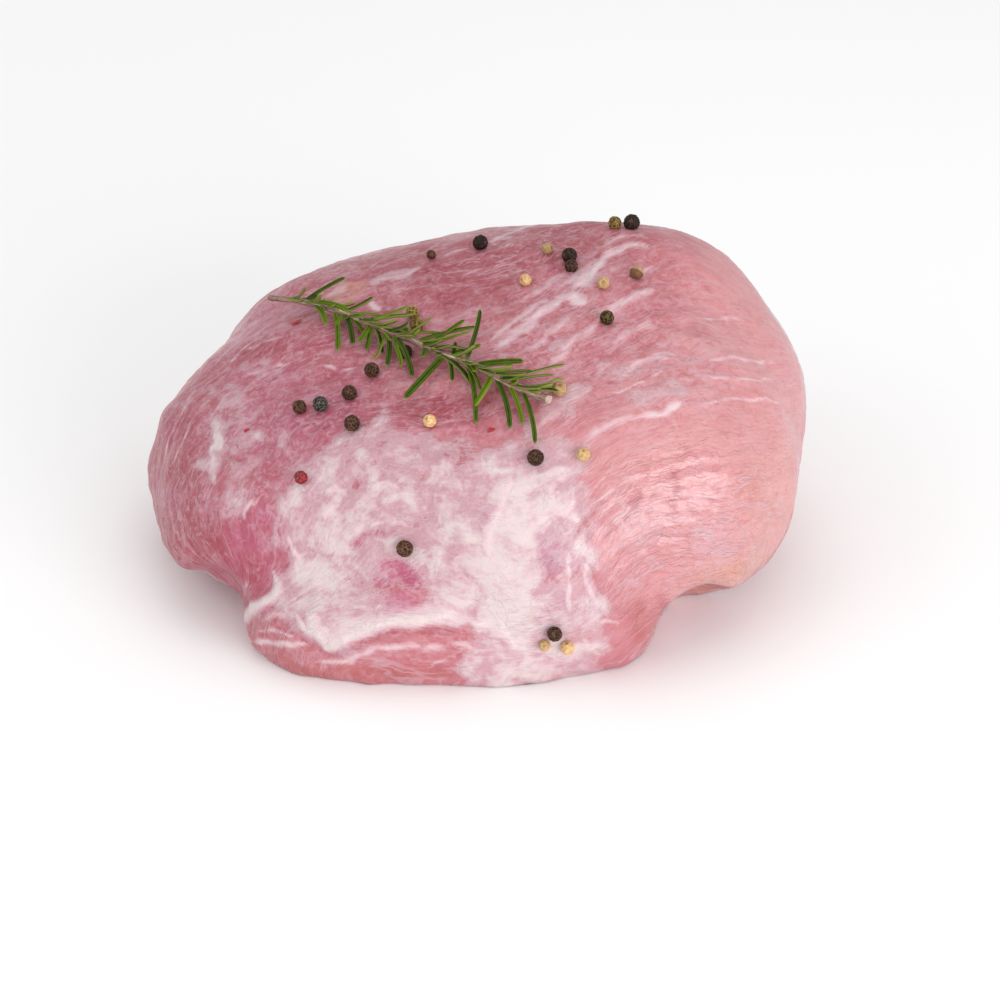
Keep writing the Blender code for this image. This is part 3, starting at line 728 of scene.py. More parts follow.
def ripple(points, length, seed, count=22):
    """A smooth random field over the meat, mostly within -1 to 1, with swells of that length."""
    draw = random.Random(seed)
    total = np.zeros(len(points))
    for _ in range(count):
        way = np.array([draw.gauss(0, 1), draw.gauss(0, 1), draw.gauss(0, 1)])
        way *= 2.0 * math.pi / (length * draw.uniform(0.7, 1.5)) / np.linalg.norm(way)
        total += np.sin(points @ way + draw.uniform(0.0, 2.0 * math.pi))
    return total / math.sqrt(count)


def patch_share(pixels, middle, half, slope):
    """How much each point is inside an ellipse of the picture, with a soft edge."""
    turn = math.radians(slope)
    apart = pixels - np.array(middle)
    along = apart[:, 0] * math.cos(turn) - apart[:, 1] * math.sin(turn)
    across = apart[:, 0] * math.sin(turn) + apart[:, 1] * math.cos(turn)
    out = np.sqrt((along / half[0]) ** 2 + (across / half[1]) ** 2)
    return 1.0 - eased(out, 0.45, 1.25)


def area_share(pixels, corners, softness):
    """How much each point is inside an outline of the picture, with a soft edge."""
    corners = np.array(corners, dtype=float)
    inside = np.zeros(len(pixels), dtype=bool)
    nearest = np.full(len(pixels), np.inf)
    for start, end in zip(corners, np.roll(corners, -1, axis=0)):
        span = end - start
        apart = pixels - start
        share = np.clip((apart @ span) / (span @ span), 0.0, 1.0)
        nearest = np.minimum(nearest, np.linalg.norm(apart - share[:, None] * span, axis=1))
        crosses = (start[1] > pixels[:, 1]) != (end[1] > pixels[:, 1])
        rise = span[1] if span[1] else 1e-9
        inside ^= crosses & (pixels[:, 0] < start[0] + (pixels[:, 1] - start[1]) * span[0] / rise)
    signed = np.where(inside, nearest, -nearest)
    return eased(signed, -softness, softness)


def smooth_path(corners, step=5.0):
    """Points close together on a smooth line through the given ones."""
    corners = [np.array(c, dtype=float) for c in corners]
    corners = [2 * corners[0] - corners[1]] + corners + [2 * corners[-1] - corners[-2]]
    path = []
    for before, start, end, after in zip(corners, corners[1:], corners[2:], corners[3:]):
        pieces = max(1, int(np.linalg.norm(end - start) / step))
        for k in range(pieces):
            t = k / pieces
            path.append(
                0.5
                * (
                    2 * start
                    + (end - before) * t
                    + (2 * before - 5 * start + 4 * end - after) * t**2
                    + (3 * start - before - 3 * end + after) * t**3
                )
            )
    path.append(corners[-2])
    return np.array(path)


def line_share(points, line, half_width, blunt=False):
    """How much each point is under a brush line that tapers to its ends."""
    share = np.zeros(len(points))
    room = 3.2 * half_width
    near = np.all((points > line.min(axis=0) - room) & (points < line.max(axis=0) + room), axis=1)
    chosen = np.nonzero(near)[0]
    if not len(chosen):
        return share
    local = points[chosen]
    nearest = np.full(len(chosen), np.inf)
    position = np.zeros(len(chosen))
    for k, (start, end) in enumerate(zip(line, line[1:])):
        span = end - start
        apart = local - start
        along = np.clip((apart @ span) / max(span @ span, 1e-9), 0.0, 1.0)
        gap = np.linalg.norm(apart - along[:, None] * span, axis=1)
        closer = gap < nearest
        nearest = np.where(closer, gap, nearest)
        position = np.where(closer, (k + along) / (len(line) - 1), position)
    ends = np.minimum(position, 1.0 - position)
    taper = np.ones(len(chosen)) if blunt else np.sqrt(np.clip(ends * 5.0, 0.06, 1.0))
    share[chosen] = np.exp(-((nearest / (half_width * taper)) ** 2)) * taper**0.5
    return share


def meat_grid(cuts, lean):
    """A closed mesh pushed out from the core to the meat, denser to the front and top, flat below."""
    work = bmesh.new()
    bmesh.ops.create_cube(work, size=2.0)
    bmesh.ops.subdivide_edges(work, edges=work.edges[:], cuts=cuts, use_grid_fill=True)
    ways = np.tan(np.array([v.co for v in work.verts]) * math.pi / 4.0)
    ways /= np.linalg.norm(ways, axis=1, keepdims=True)
    ways -= lean * camera_axes()[1]
    ways /= np.linalg.norm(ways, axis=1, keepdims=True)
    for vertex, place in zip(work.verts, reach_along(ways)):
        vertex.co = place
    bmesh.ops.bisect_plane(
        work,
        geom=work.verts[:] + work.edges[:] + work.faces[:],
        dist=0.02,
        plane_co=(0.0, 0.0, 0.0),
        plane_no=(0.0, 0.0, -1.0),
        clear_outer=True,
    )
    rim = [edge for edge in work.edges if edge.is_boundary]
    for edge in rim:
        edge.smooth = False
    filled = bmesh.ops.holes_fill(work, edges=rim, sides=0)["faces"]
    bmesh.ops.triangulate(work, faces=filled)
    bmesh.ops.recalc_face_normals(work, faces=work.faces)
    for face in work.faces:
        face.smooth = True
    return work


class MeatLayers:
    """Tones, film, fat, wetness and relief at each point of the meat."""

    def __init__(self, points, palette):
        self.points = points
        self.normals = slopes(points, skin)
        self.wander = np.stack([ripple(points, 9.0, 3), ripple(points, 9.0, 4)], axis=1)
        sway = [0.6 * ripple(points, 8.0, 14 + k) + 0.12 * ripple(points, 3.0, 17 + k) for k in range(3)]
        self.swayed = points + np.stack(sway, axis=1)
        self.pixels = in_picture(points)
        towards = camera_axes()[0] - points
        towards /= np.linalg.norm(towards, axis=1, keepdims=True)
        self.seen = eased((self.normals * towards).sum(axis=1), 0.0, 0.22)
        self.across = fibre_rule()(points)
        self.palette = {name: np.array(colour) for name, colour in palette.items()}
        self.film = np.zeros(len(points))
        self.marble = np.zeros(len(points))
        self.fat = np.zeros(len(points))
        self.wet = np.zeros(len(points))
        self.relief = np.zeros(len(points))
        self.tone = np.tile(self.palette["rose"], (len(points), 1))

    def blend_tone(self, colour, share):
        """Mix a colour of the palette into the tone."""
        self.tone += (self.palette[colour] - self.tone) * share[:, None]

    def lay_marbling(self):
        """How cloudy the flesh is, at random behind."""
        loose = self.pixels + 12.0 * self.wander
        for _, middle, half, slope, strength in MARBLING:
            share = patch_share(loose, middle, half, slope)
            self.marble += (strength - self.marble) * share
        behind = 1.0 - self.seen
        self.marble += behind * (0.55 + 0.3 * ripple(self.points, 40.0, 20) - self.marble)

    def lay_tones(self):
        """Broad tones run right through to the back, small ones stay on the front."""
        loose = self.pixels + 14.0 * self.wander
        for _, colour, middle, half, slope, strength in BROAD_TONES:
            self.blend_tone(colour, strength * patch_share(loose, middle, half, slope))
        drift = ripple(self.points, 17.0, 24)
        self.blend_tone("orchid", 0.32 * self.marble * eased(drift, 0.1, 1.1))
        self.blend_tone("coral", 0.30 * self.marble * eased(-drift, 0.1, 1.1))
        loose = self.pixels + 3.5 * self.wander
        for _, colour, middle, half, slope, strength in SMALL_TONES:
            self.blend_tone(colour, strength * self.seen * patch_share(loose, middle, half, slope))

    def lay_film(self):
        """Silver film and wetness where the picture shows them, and at random behind."""
        loose = self.pixels + 5.0 * self.wander
        for _, strength, softness, corners in FILM_AREAS:
            self.film += strength * self.seen * area_share(loose, corners, softness)
        for _, middle, half, slope, strength in FILM_PATCHES:
            self.film += strength * self.seen * patch_share(loose, middle, half, slope)
        for _, middle, half, slope, strength in WET_PATCHES:
            self.wet = np.maximum(self.wet, strength * self.seen * patch_share(loose, middle, half, slope))
        behind = 1.0 - self.seen
        self.film += behind * eased(ripple(self.points, 42.0, 8), 0.1, 1.0) * 0.75
        self.wet = np.maximum(self.wet, behind * 0.5 * eased(ripple(self.points, 50.0, 9), 0.0, 0.8))
        self.blend_tone("bare", behind * 0.6 * eased(ripple(self.points, 34.0, 10), 0.2, 0.9))
        self.blend_tone("salmon", behind * 0.5 * eased(ripple(self.points, 40.0, 12), 0.2, 0.9))

    def lay_lines(self):
        """Fat lines, seams and grooves, each drawn on the meat itself."""
        for rows, lay in ((FAT_LINES, self.add_fat), (SEAMS, self.add_seam), (GROOVES, self.add_groove)):
            for _, half_width, strength, corners in rows:
                line = onto_meat(smooth_path(corners))
                lay(line, half_width, strength)

    def add_fat(self, line, half_width, strength):
        """A white line, a little proud of the meat."""
        share = strength * line_share(self.swayed, line, half_width)
        self.fat = np.maximum(self.fat, share)
        self.relief += FAT_RELIEF * share

    def add_seam(self, line, half_width, strength):
        """A thick raised line along a cut edge."""
        share = strength * line_share(self.swayed, line, half_width)
        self.fat = np.maximum(self.fat, 1.15 * share)
        self.relief += SEAM_RELIEF * share

    def add_groove(self, line, half_width, depth):
        """A furrow, with painted shade that makes it a little darker than its sides."""
        share = line_share(self.swayed, line, half_width)
        self.relief -= depth * share
        # Painted shade: the furrow's tone is drawn towards the colour of bare muscle.
        self.blend_tone("bare", 0.45 * share)

    def lay_hidden_lines(self, count=60):
        """White lines that follow the fibres on the sides that don't show."""
        draw = random.Random(SEED + 5)
        height = fibre_rule()
        for _ in range(count):
            way = np.array([draw.gauss(0, 1), draw.gauss(0.5, 1), draw.gauss(0.3, 0.6)])
            start = reach_along((way / np.linalg.norm(way))[None])[0]
            towards = camera_axes()[0] - start
            if start[2] < 8.0 or skin_normal(start) @ towards / np.linalg.norm(towards) > 0.05:
                continue
            line = [start]
            for _ in range(draw.randint(6, 16)):
                normal = skin_normal(line[-1])
                along = np.cross(slopes(line[-1][None], height)[0], normal)
                along /= max(np.linalg.norm(along), 1e-6)
                line.append(onto_skin(line[-1] + 3.0 * along))
            self.add_fat(np.array(line), draw.uniform(0.35, 1.0), draw.uniform(0.45, 0.9))

    def finish_relief(self):
        """Bundles of fibres, soft lumps and a wavy rim at the foot."""
        bundles = np.cos(2.0 * math.pi * self.across / BUNDLE_WIDTH + 1.6 * ripple(self.points, 22.0, 6))
        bare = 1.0 - np.clip(self.film, 0.0, 1.0)
        self.relief += BUNDLE_RELIEF * bundles * (0.35 + 0.65 * bare)
        self.relief += FILM_RELIEF * ripple(self.points, 7.0, 7) * np.clip(self.film + 0.3, 0.0, 1.0)
        self.relief += 0.04 * ripple(self.points, 4.5, 13) * self.wet
        self.relief += 0.22 * ripple(self.points, 11.0, 23) * (0.4 + 0.6 * self.marble)
        rim = 1.0 - eased(self.points[:, 2], 2.0, 12.0)
        self.relief += 0.45 * ripple(self.points, 13.0, 25) * rim
        for _, depth, middle, half, slope in DENTS:
            self.relief -= depth * patch_share(self.pixels, middle, half, slope)


# Node building


def feed(tree, socket, value):
    """Link a socket to another, or set its value."""
    if isinstance(value, bpy.types.NodeSocket):
        tree.links.new(value, socket)
    elif socket.type == "RGBA" and len(value) == 3:
        socket.default_value = (*value, 1.0)
    else:
        socket.default_value = value


def add_node(tree, kind, inputs=None, **settings):
    """A node with its settings, and its inputs linked or set."""
    node = tree.nodes.new(kind)
    for name, value in settings.items():
        setattr(node, name, value)
    for key, value in (inputs or {}).items():
        feed(tree, node.inputs[key], value)
    return node


def reckon(tree, operation, first, second=0.0, third=0.0, clamp=False):
    """Result of a maths node."""
    node = add_node(tree, "ShaderNodeMath", {0: first, 1: second, 2: third}, operation=operation)
    node.use_clamp = clamp
    return node.outputs[0]


def stretch(tree, value, low, high, to_low=0.0, to_high=1.0, smooth=True):
    """A value taken from one range to another, and held inside it."""
    kind = "SMOOTHSTEP" if smooth else "LINEAR"
    inputs = {"Value": value, "From Min": low, "From Max": high, "To Min": to_low, "To Max": to_high}
    return add_node(tree, "ShaderNodeMapRange", inputs, interpolation_type=kind).outputs[0]


def blend(tree, share, first, second, how="MIX"):
    """A mix of two colours."""
    node = tree.nodes.new("ShaderNodeMix")
    node.data_type = "RGBA"
    node.blend_type = how
    feed(tree, node.inputs[0], share)
    feed(tree, node.inputs[6], first)
    feed(tree, node.inputs[7], second)
    return node.outputs[2]


def scaled(tree, vector, factor):
    """A vector times a factor."""
    return add_node(tree, "ShaderNodeVectorMath", {0: vector, "Scale": factor}, operation="SCALE").outputs[0]


def cloud(tree, vector, scale, detail=3.0, roughness=0.55, distortion=0.0):
    """Value of a noise texture."""
    inputs = {"Vector": vector, "Scale": scale, "Detail": detail, "Roughness": roughness}
    inputs["Distortion"] = distortion
    return add_node(tree, "ShaderNodeTexNoise", inputs).outputs[0]


def reading(tree, name, output="Fac"):
    """An attribute of the mesh in a shader."""
    return add_node(tree, "ShaderNodeAttribute", attribute_name=name).outputs[output]


def new_group(name, inputs, outputs):
    """A shader node group with float inputs and named outputs, and its inside sockets."""
    tree = bpy.data.node_groups.new(name, "ShaderNodeTree")
    for label, default in inputs:
        item = tree.interface.new_socket(name=label, in_out="INPUT", socket_type="NodeSocketFloat")
        item.default_value = default
    for label in outputs:
        tree.interface.new_socket(name=label, in_out="OUTPUT", socket_type="NodeSocketFloat")
    return tree, tree.nodes.new("NodeGroupInput").outputs, tree.nodes.new("NodeGroupOutput").inputs


def use_group(tree, group, **inputs):
    """A group node with its inputs linked or set. Underscores stand for spaces."""
    node = tree.nodes.new("ShaderNodeGroup")
    node.node_tree = group
    for key, value in inputs.items():
        feed(tree, node.inputs[key.replace("_", " ")], value)
    return node.outputs


def spread_nodes(tree):
    """Lay the nodes out in columns, from the last one back."""
    column = {node: 0 for node in tree.nodes}
    for _ in range(len(tree.nodes)):
        moved = False
        for link in tree.links:
            if column[link.from_node] < column[link.to_node] + 1:
                column[link.from_node] = column[link.to_node] + 1
                moved = True
        if not moved:
            break
    used = {}
    for node in tree.nodes:
        row = used.get(column[node], 0)
        node.location = (-220.0 * column[node], -190.0 * row)
        used[column[node]] = row + 1


def new_material(name):
    """An empty node material with its Principled shader."""
    made = bpy.data.materials.new(name)
    made.use_nodes = True
    return made, made.node_tree, made.node_tree.nodes["Principled BSDF"]


# Materials of the meat


def fibre_streaks_group():
    """Streaks that are narrow across the fibres and long along them."""
    inputs = [("Across", 0.0), ("Width", 1.0), ("Length", 12.0), ("Detail", 2.0), ("Roughness", 0.55)]
    tree, given, result = new_group("Muscle fibre streaks", inputs, ["Streak"])
    place = tree.nodes.new("ShaderNodeTexCoord").outputs["Object"]
    noise = add_node(tree, "ShaderNodeTexNoise", noise_dimensions="4D")
    inputs = {
        "Vector": scaled(tree, place, reckon(tree, "DIVIDE", 1000.0, given["Length"])),
        "W": reckon(tree, "DIVIDE", given["Across"], given["Width"]),
        "Scale": 1.0,
        "Detail": given["Detail"],
        "Roughness": given["Roughness"],
    }
    for key, value in inputs.items():
        feed(tree, noise.inputs[key], value)
    feed(tree, result["Streak"], noise.outputs[0])
    spread_nodes(tree)
    return tree


def loose_fibres_group():
    """The way across the fibres, made to wander so that the streaks aren't combed."""
    tree, given, result = new_group("Loose fibres", [("Across", 0.0), ("Looseness", 1.0)], ["Across"])
    place = tree.nodes.new("ShaderNodeTexCoord").outputs["Object"]
    wide = reckon(tree, "SUBTRACT", cloud(tree, place, 75.0, 2.0), 0.5)
    small = reckon(tree, "SUBTRACT", cloud(tree, place, 230.0, 2.0), 0.5)
    sway = reckon(tree, "MULTIPLY_ADD", wide, 9.0, reckon(tree, "MULTIPLY", small, 2.4))
    feed(tree, result["Across"], reckon(tree, "MULTIPLY_ADD", sway, given["Looseness"], given["Across"]))
    spread_nodes(tree)
    return tree


def torn_film_group(streaks):
    """Silver film that is torn along the fibres, thin at its edges, with loose strands."""
    tree, given, result = new_group(
        "Torn silver film", [("Cover", 0.0), ("Across", 0.0)], ["Thin", "Thick", "Rim", "Strands", "Haze"]
    )
    place = tree.nodes.new("ShaderNodeTexCoord").outputs["Object"]
    haze = cloud(tree, place, 85.0, 6.0, 0.58, 0.9)
    inputs = {"Across": given["Across"], "Width": 3.2, "Length": 9.0, "Detail": 5.0, "Roughness": 0.62}
    streak = use_group(tree, streaks, **inputs)["Streak"]
    inputs = {"Across": given["Across"], "Width": 0.9, "Length": 5.0, "Detail": 3.0}
    fibril = use_group(tree, streaks, **inputs)["Streak"]
    torn = reckon(tree, "MULTIPLY_ADD", reckon(tree, "SUBTRACT", haze, 0.5), 2.4, given["Cover"])
    torn = reckon(tree, "MULTIPLY_ADD", reckon(tree, "SUBTRACT", streak, 0.5), 1.1, torn)
    torn = reckon(tree, "MULTIPLY_ADD", reckon(tree, "SUBTRACT", fibril, 0.5), 0.55, torn)
    flecks = cloud(tree, place, 380.0, 5.0, 0.7, 0.6)
    torn = reckon(tree, "MULTIPLY_ADD", reckon(tree, "SUBTRACT", flecks, 0.5), 1.1, torn)
    feed(tree, result["Thin"], stretch(tree, torn, 0.0, 1.0))
    feed(tree, result["Thick"], stretch(tree, torn, 0.66, 1.44))
    rim = reckon(tree, "ABSOLUTE", reckon(tree, "SUBTRACT", torn, 0.55))
    feed(tree, result["Rim"], stretch(tree, rim, 0.12, 0.0))
    winding = cloud(tree, place, 62.0, 5.0, 0.6, 1.6)
    off = reckon(tree, "ABSOLUTE", reckon(tree, "SUBTRACT", winding, 0.5))
    strand = stretch(tree, off, 0.016, 0.0)
    cover = stretch(tree, given["Cover"], 0.15, 0.6)
    gaps = stretch(tree, haze, 0.44, 0.60)
    feed(tree, result["Strands"], reckon(tree, "MULTIPLY", reckon(tree, "MULTIPLY", strand, cover), gaps))
    feed(tree, result["Haze"], haze)
    spread_nodes(tree)
    return tree


def wet_wrinkles_group(streaks):
    """Short wavy wrinkles that lie along the fibres of wet skin."""
    tree, given, result = new_group("Wet wrinkles", [("Across", 0.0), ("Wet", 0.0)], ["Height"])
    place = tree.nodes.new("ShaderNodeTexCoord").outputs["Object"]
    sway = reckon(tree, "MULTIPLY", cloud(tree, place, 150.0, 3.0), 3.6)
    wavy = reckon(tree, "ADD", given["Across"], sway)
    short = use_group(tree, streaks, Across=wavy, Width=1.5, Length=5.5, Detail=1.0, Roughness=0.5)["Streak"]
    fine = use_group(tree, streaks, Across=wavy, Width=0.7, Length=3.0, Detail=1.0, Roughness=0.5)["Streak"]
    crest = reckon(tree, "ABSOLUTE", reckon(tree, "SUBTRACT", short, 0.5))
    height = reckon(tree, "MULTIPLY", stretch(tree, crest, 0.10, 0.0), 0.5)
    height = reckon(tree, "MULTIPLY_ADD", fine, 0.6, height)
    feed(tree, result["Height"], reckon(tree, "MULTIPLY", height, given["Wet"]))
    spread_nodes(tree)
    return tree


def pork_material(look):
    """Raw flesh: fibres, marbling, silver film, fat lines and a wet gloss."""
    made, tree, shader = new_material("Raw pork")
    streaks = fibre_streaks_group()
    straight = reading(tree, "Across")
    tone = reading(tree, "Tone", "Color")
    cover = reading(tree, "Film")
    fat = reading(tree, "Fat")
    wet = reading(tree, "Wet")
    marble = reading(tree, "Marble")
    place = tree.nodes.new("ShaderNodeTexCoord").outputs["Object"]
    width = look.fibre_width * 1000.0
    loose = reckon(tree, "MULTIPLY_ADD", marble, 0.85, 0.15)
    across = use_group(tree, loose_fibres_group(), Across=straight, Looseness=loose)["Across"]

    def streak(wide, length, detail, roughness=0.55):
        inputs = {"Across": across, "Width": wide * width, "Length": length, "Detail": detail}
        return use_group(tree, streaks, Roughness=roughness, **inputs)["Streak"]

    def centred(value):
        return reckon(tree, "SUBTRACT", value, 0.5)

    fine = streak(1.0, 7.0, 3.0)
    hair = streak(0.70, 2.8, 2.0, 0.6)
    middle = streak(3.4, 16.0, 3.0)
    broad = streak(11.0, 45.0, 2.0)
    clouds = streak(8.5, 12.0, 6.0, 0.60)
    detail = reckon(tree, "MULTIPLY", centred(fine), 0.46)
    detail = reckon(tree, "MULTIPLY_ADD", centred(hair), 0.34, detail)
    detail = reckon(tree, "MULTIPLY_ADD", centred(middle), 0.38, detail)
    fibrils = reckon(tree, "ABSOLUTE", reckon(tree, "SUBTRACT", streak(1.9, 9.0, 3.0), 0.5))
    tinted = blend(tree, 1.0, tone, look.shade_tint, "MULTIPLY")
    silvery = blend(tree, 0.5, tone, look.line_colour)
    flesh = blend(tree, reckon(tree, "MULTIPLY", detail, -2.1, clamp=True), tone, tinted)
    flesh = blend(tree, reckon(tree, "MULTIPLY", detail, 1.7, clamp=True), flesh, silvery)
    dark = blend(tree, 1.0, flesh, look.shade_tint, "MULTIPLY")
    pale = blend(tree, 0.66, flesh, look.film_colour)
    flesh = blend(tree, reckon(tree, "MULTIPLY", stretch(tree, broad, 0.5, 0.72), 0.35), flesh, dark)
    share = reckon(tree, "MULTIPLY", stretch(tree, clouds, 0.50, 0.36), marble)
    flesh = blend(tree, reckon(tree, "MULTIPLY", share, 0.85), flesh, dark)
    share = reckon(tree, "MULTIPLY", stretch(tree, clouds, 0.50, 0.66), marble)
    flesh = blend(tree, reckon(tree, "MULTIPLY", share, 0.85), flesh, pale)
    mottle = cloud(tree, place, 360.0, 5.0, 0.64, 1.0)
    graininess = reckon(tree, "MULTIPLY_ADD", marble, 0.85, 0.10, clamp=True)
    share = reckon(tree, "MULTIPLY", stretch(tree, mottle, 0.50, 0.36), graininess)
    flesh = blend(tree, share, flesh, dark)
    share = reckon(tree, "MULTIPLY", stretch(tree, mottle, 0.50, 0.64), graininess)
    flesh = blend(tree, share, flesh, pale)
    fibrils = reckon(tree, "MULTIPLY", stretch(tree, fibrils, 0.024, 0.0), reckon(tree, "MULTIPLY", marble, 0.34))
    flesh = blend(tree, fibrils, flesh, look.film_colour)
    threads = reckon(tree, "ABSOLUTE", reckon(tree, "SUBTRACT", streak(4.2, 22.0, 2.0), 0.52))
    threads = reckon(tree, "MULTIPLY", stretch(tree, threads, 0.026, 0.0), 0.50)
    threads = reckon(tree, "MULTIPLY", threads, stretch(tree, broad, 0.38, 0.56))
    flesh = blend(tree, threads, flesh, look.film_colour)

    film = use_group(tree, torn_film_group(streaks), Cover=cover, Across=across)
    thin = reckon(tree, "MULTIPLY", film["Thin"], stretch(tree, cover, 0.0, 0.22))
    thick = reckon(tree, "MULTIPLY", film["Thick"], stretch(tree, cover, 0.1, 0.45))
    rim = reckon(tree, "MULTIPLY", film["Rim"], stretch(tree, cover, 0.08, 0.4))
    flesh = blend(tree, reckon(tree, "MULTIPLY", thin, 0.82), flesh, look.film_colour)
    flesh = blend(tree, reckon(tree, "MULTIPLY", thick, 0.80), flesh, look.fat_colour)
    flesh = blend(tree, reckon(tree, "MULTIPLY", rim, 0.20), flesh, look.fat_colour)
    flesh = blend(tree, reckon(tree, "MULTIPLY", film["Strands"], 0.55), flesh, look.fat_colour)

    ragged = reckon(tree, "MULTIPLY_ADD", centred(cloud(tree, place, 420.0, 4.0, 0.65)), 0.7, centred(fine))
    veil = stretch(tree, reckon(tree, "MULTIPLY_ADD", ragged, 0.55, fat), 0.04, 0.80)
    veil = reckon(tree, "MULTIPLY", veil, stretch(tree, fat, 0.0, 0.2))
    flesh = blend(tree, reckon(tree, "MULTIPLY", veil, 0.88), flesh, look.line_colour)
    line = stretch(tree, reckon(tree, "MULTIPLY_ADD", ragged, 0.9, fat), 0.52, 0.95)
    line = reckon(tree, "MULTIPLY", line, stretch(tree, fat, 0.3, 0.6))
    flesh = blend(tree, reckon(tree, "MULTIPLY", line, 0.80), flesh, look.fat_colour)
    feed(tree, shader.inputs["Base Color"], flesh)

    wrinkles = use_group(tree, wet_wrinkles_group(streaks), Across=straight, Wet=wet)["Height"]
    height = reckon(tree, "MULTIPLY_ADD", mottle, reckon(tree, "MULTIPLY", graininess, 0.42), reckon(tree, "MULTIPLY", fine, 0.16))
    height = reckon(tree, "MULTIPLY_ADD", hair, 0.08, height)
    height = reckon(tree, "MULTIPLY_ADD", middle, 0.14, height)
    height = reckon(tree, "MULTIPLY_ADD", clouds, reckon(tree, "MULTIPLY", marble, 0.30), height)
    height = reckon(tree, "MULTIPLY_ADD", film["Haze"], reckon(tree, "MULTIPLY", thin, 0.45), height)
    height = reckon(tree, "MULTIPLY_ADD", film["Strands"], 0.10, height)
    height = reckon(tree, "MULTIPLY_ADD", line, 0.12, height)
    height = reckon(tree, "MULTIPLY_ADD", wrinkles, 0.46, height)
    bump = add_node(tree, "ShaderNodeBump", {"Strength": 1.0, "Distance": 0.001, "Height": height})
    feed(tree, shader.inputs["Normal"], bump.outputs[0])

    dull = reckon(tree, "MULTIPLY_ADD", film["Haze"], 0.25, 0.28)
    dull = reckon(tree, "MULTIPLY_ADD", thick, 0.08, dull)
    feed(tree, shader.inputs["Roughness"], reckon(tree, "MULTIPLY_ADD", wet, -0.14, dull))
    shine = reckon(tree, "MULTIPLY_ADD", wet, 0.65, 0.08, clamp=True)
    feed(tree, shader.inputs["Coat Weight"], shine)
    shader.inputs["Coat Roughness"].default_value = look.coat_roughness
    shader.inputs["Subsurface Weight"].default_value = look.translucency
    shader.inputs["Subsurface Radius"].default_value = (1.0, 0.36, 0.28)
    shader.inputs["Subsurface Scale"].default_value = 0.0018
    shader.inputs["Specular IOR Level"].default_value = 0.42
    spread_nodes(tree)
    return made


# Peppercorns


def geometry_tree(name, inputs):
    """A geometry node tree with its named inputs and its inside sockets."""
    tree = bpy.data.node_groups.new(name, "GeometryNodeTree")
    tree.interface.new_socket(name="Geometry", in_out="INPUT", socket_type="NodeSocketGeometry")
    for label, kind, default in inputs:
        item = tree.interface.new_socket(name=label, in_out="INPUT", socket_type="NodeSocket" + kind)
        if default is not None:
            item.default_value = default
    tree.interface.new_socket(name="Geometry", in_out="OUTPUT", socket_type="NodeSocketGeometry")
    return tree, tree.nodes.new("NodeGroupInput").outputs, tree.nodes.new("NodeGroupOutput").inputs


def named(tree, name, kind="FLOAT"):
    """A named attribute in a geometry tree."""
    return add_node(tree, "GeometryNodeInputNamedAttribute", {"Name": name}, data_type=kind).outputs[0]


def keep(tree, geometry, name, value, kind="FLOAT", domain="POINT"):
    """Store a named attribute on the geometry."""
    inputs = {"Geometry": geometry, "Name": name, "Value": value}
    return add_node(tree, "GeometryNodeStoreNamedAttribute", inputs, data_type=kind, domain=domain).outputs[0]


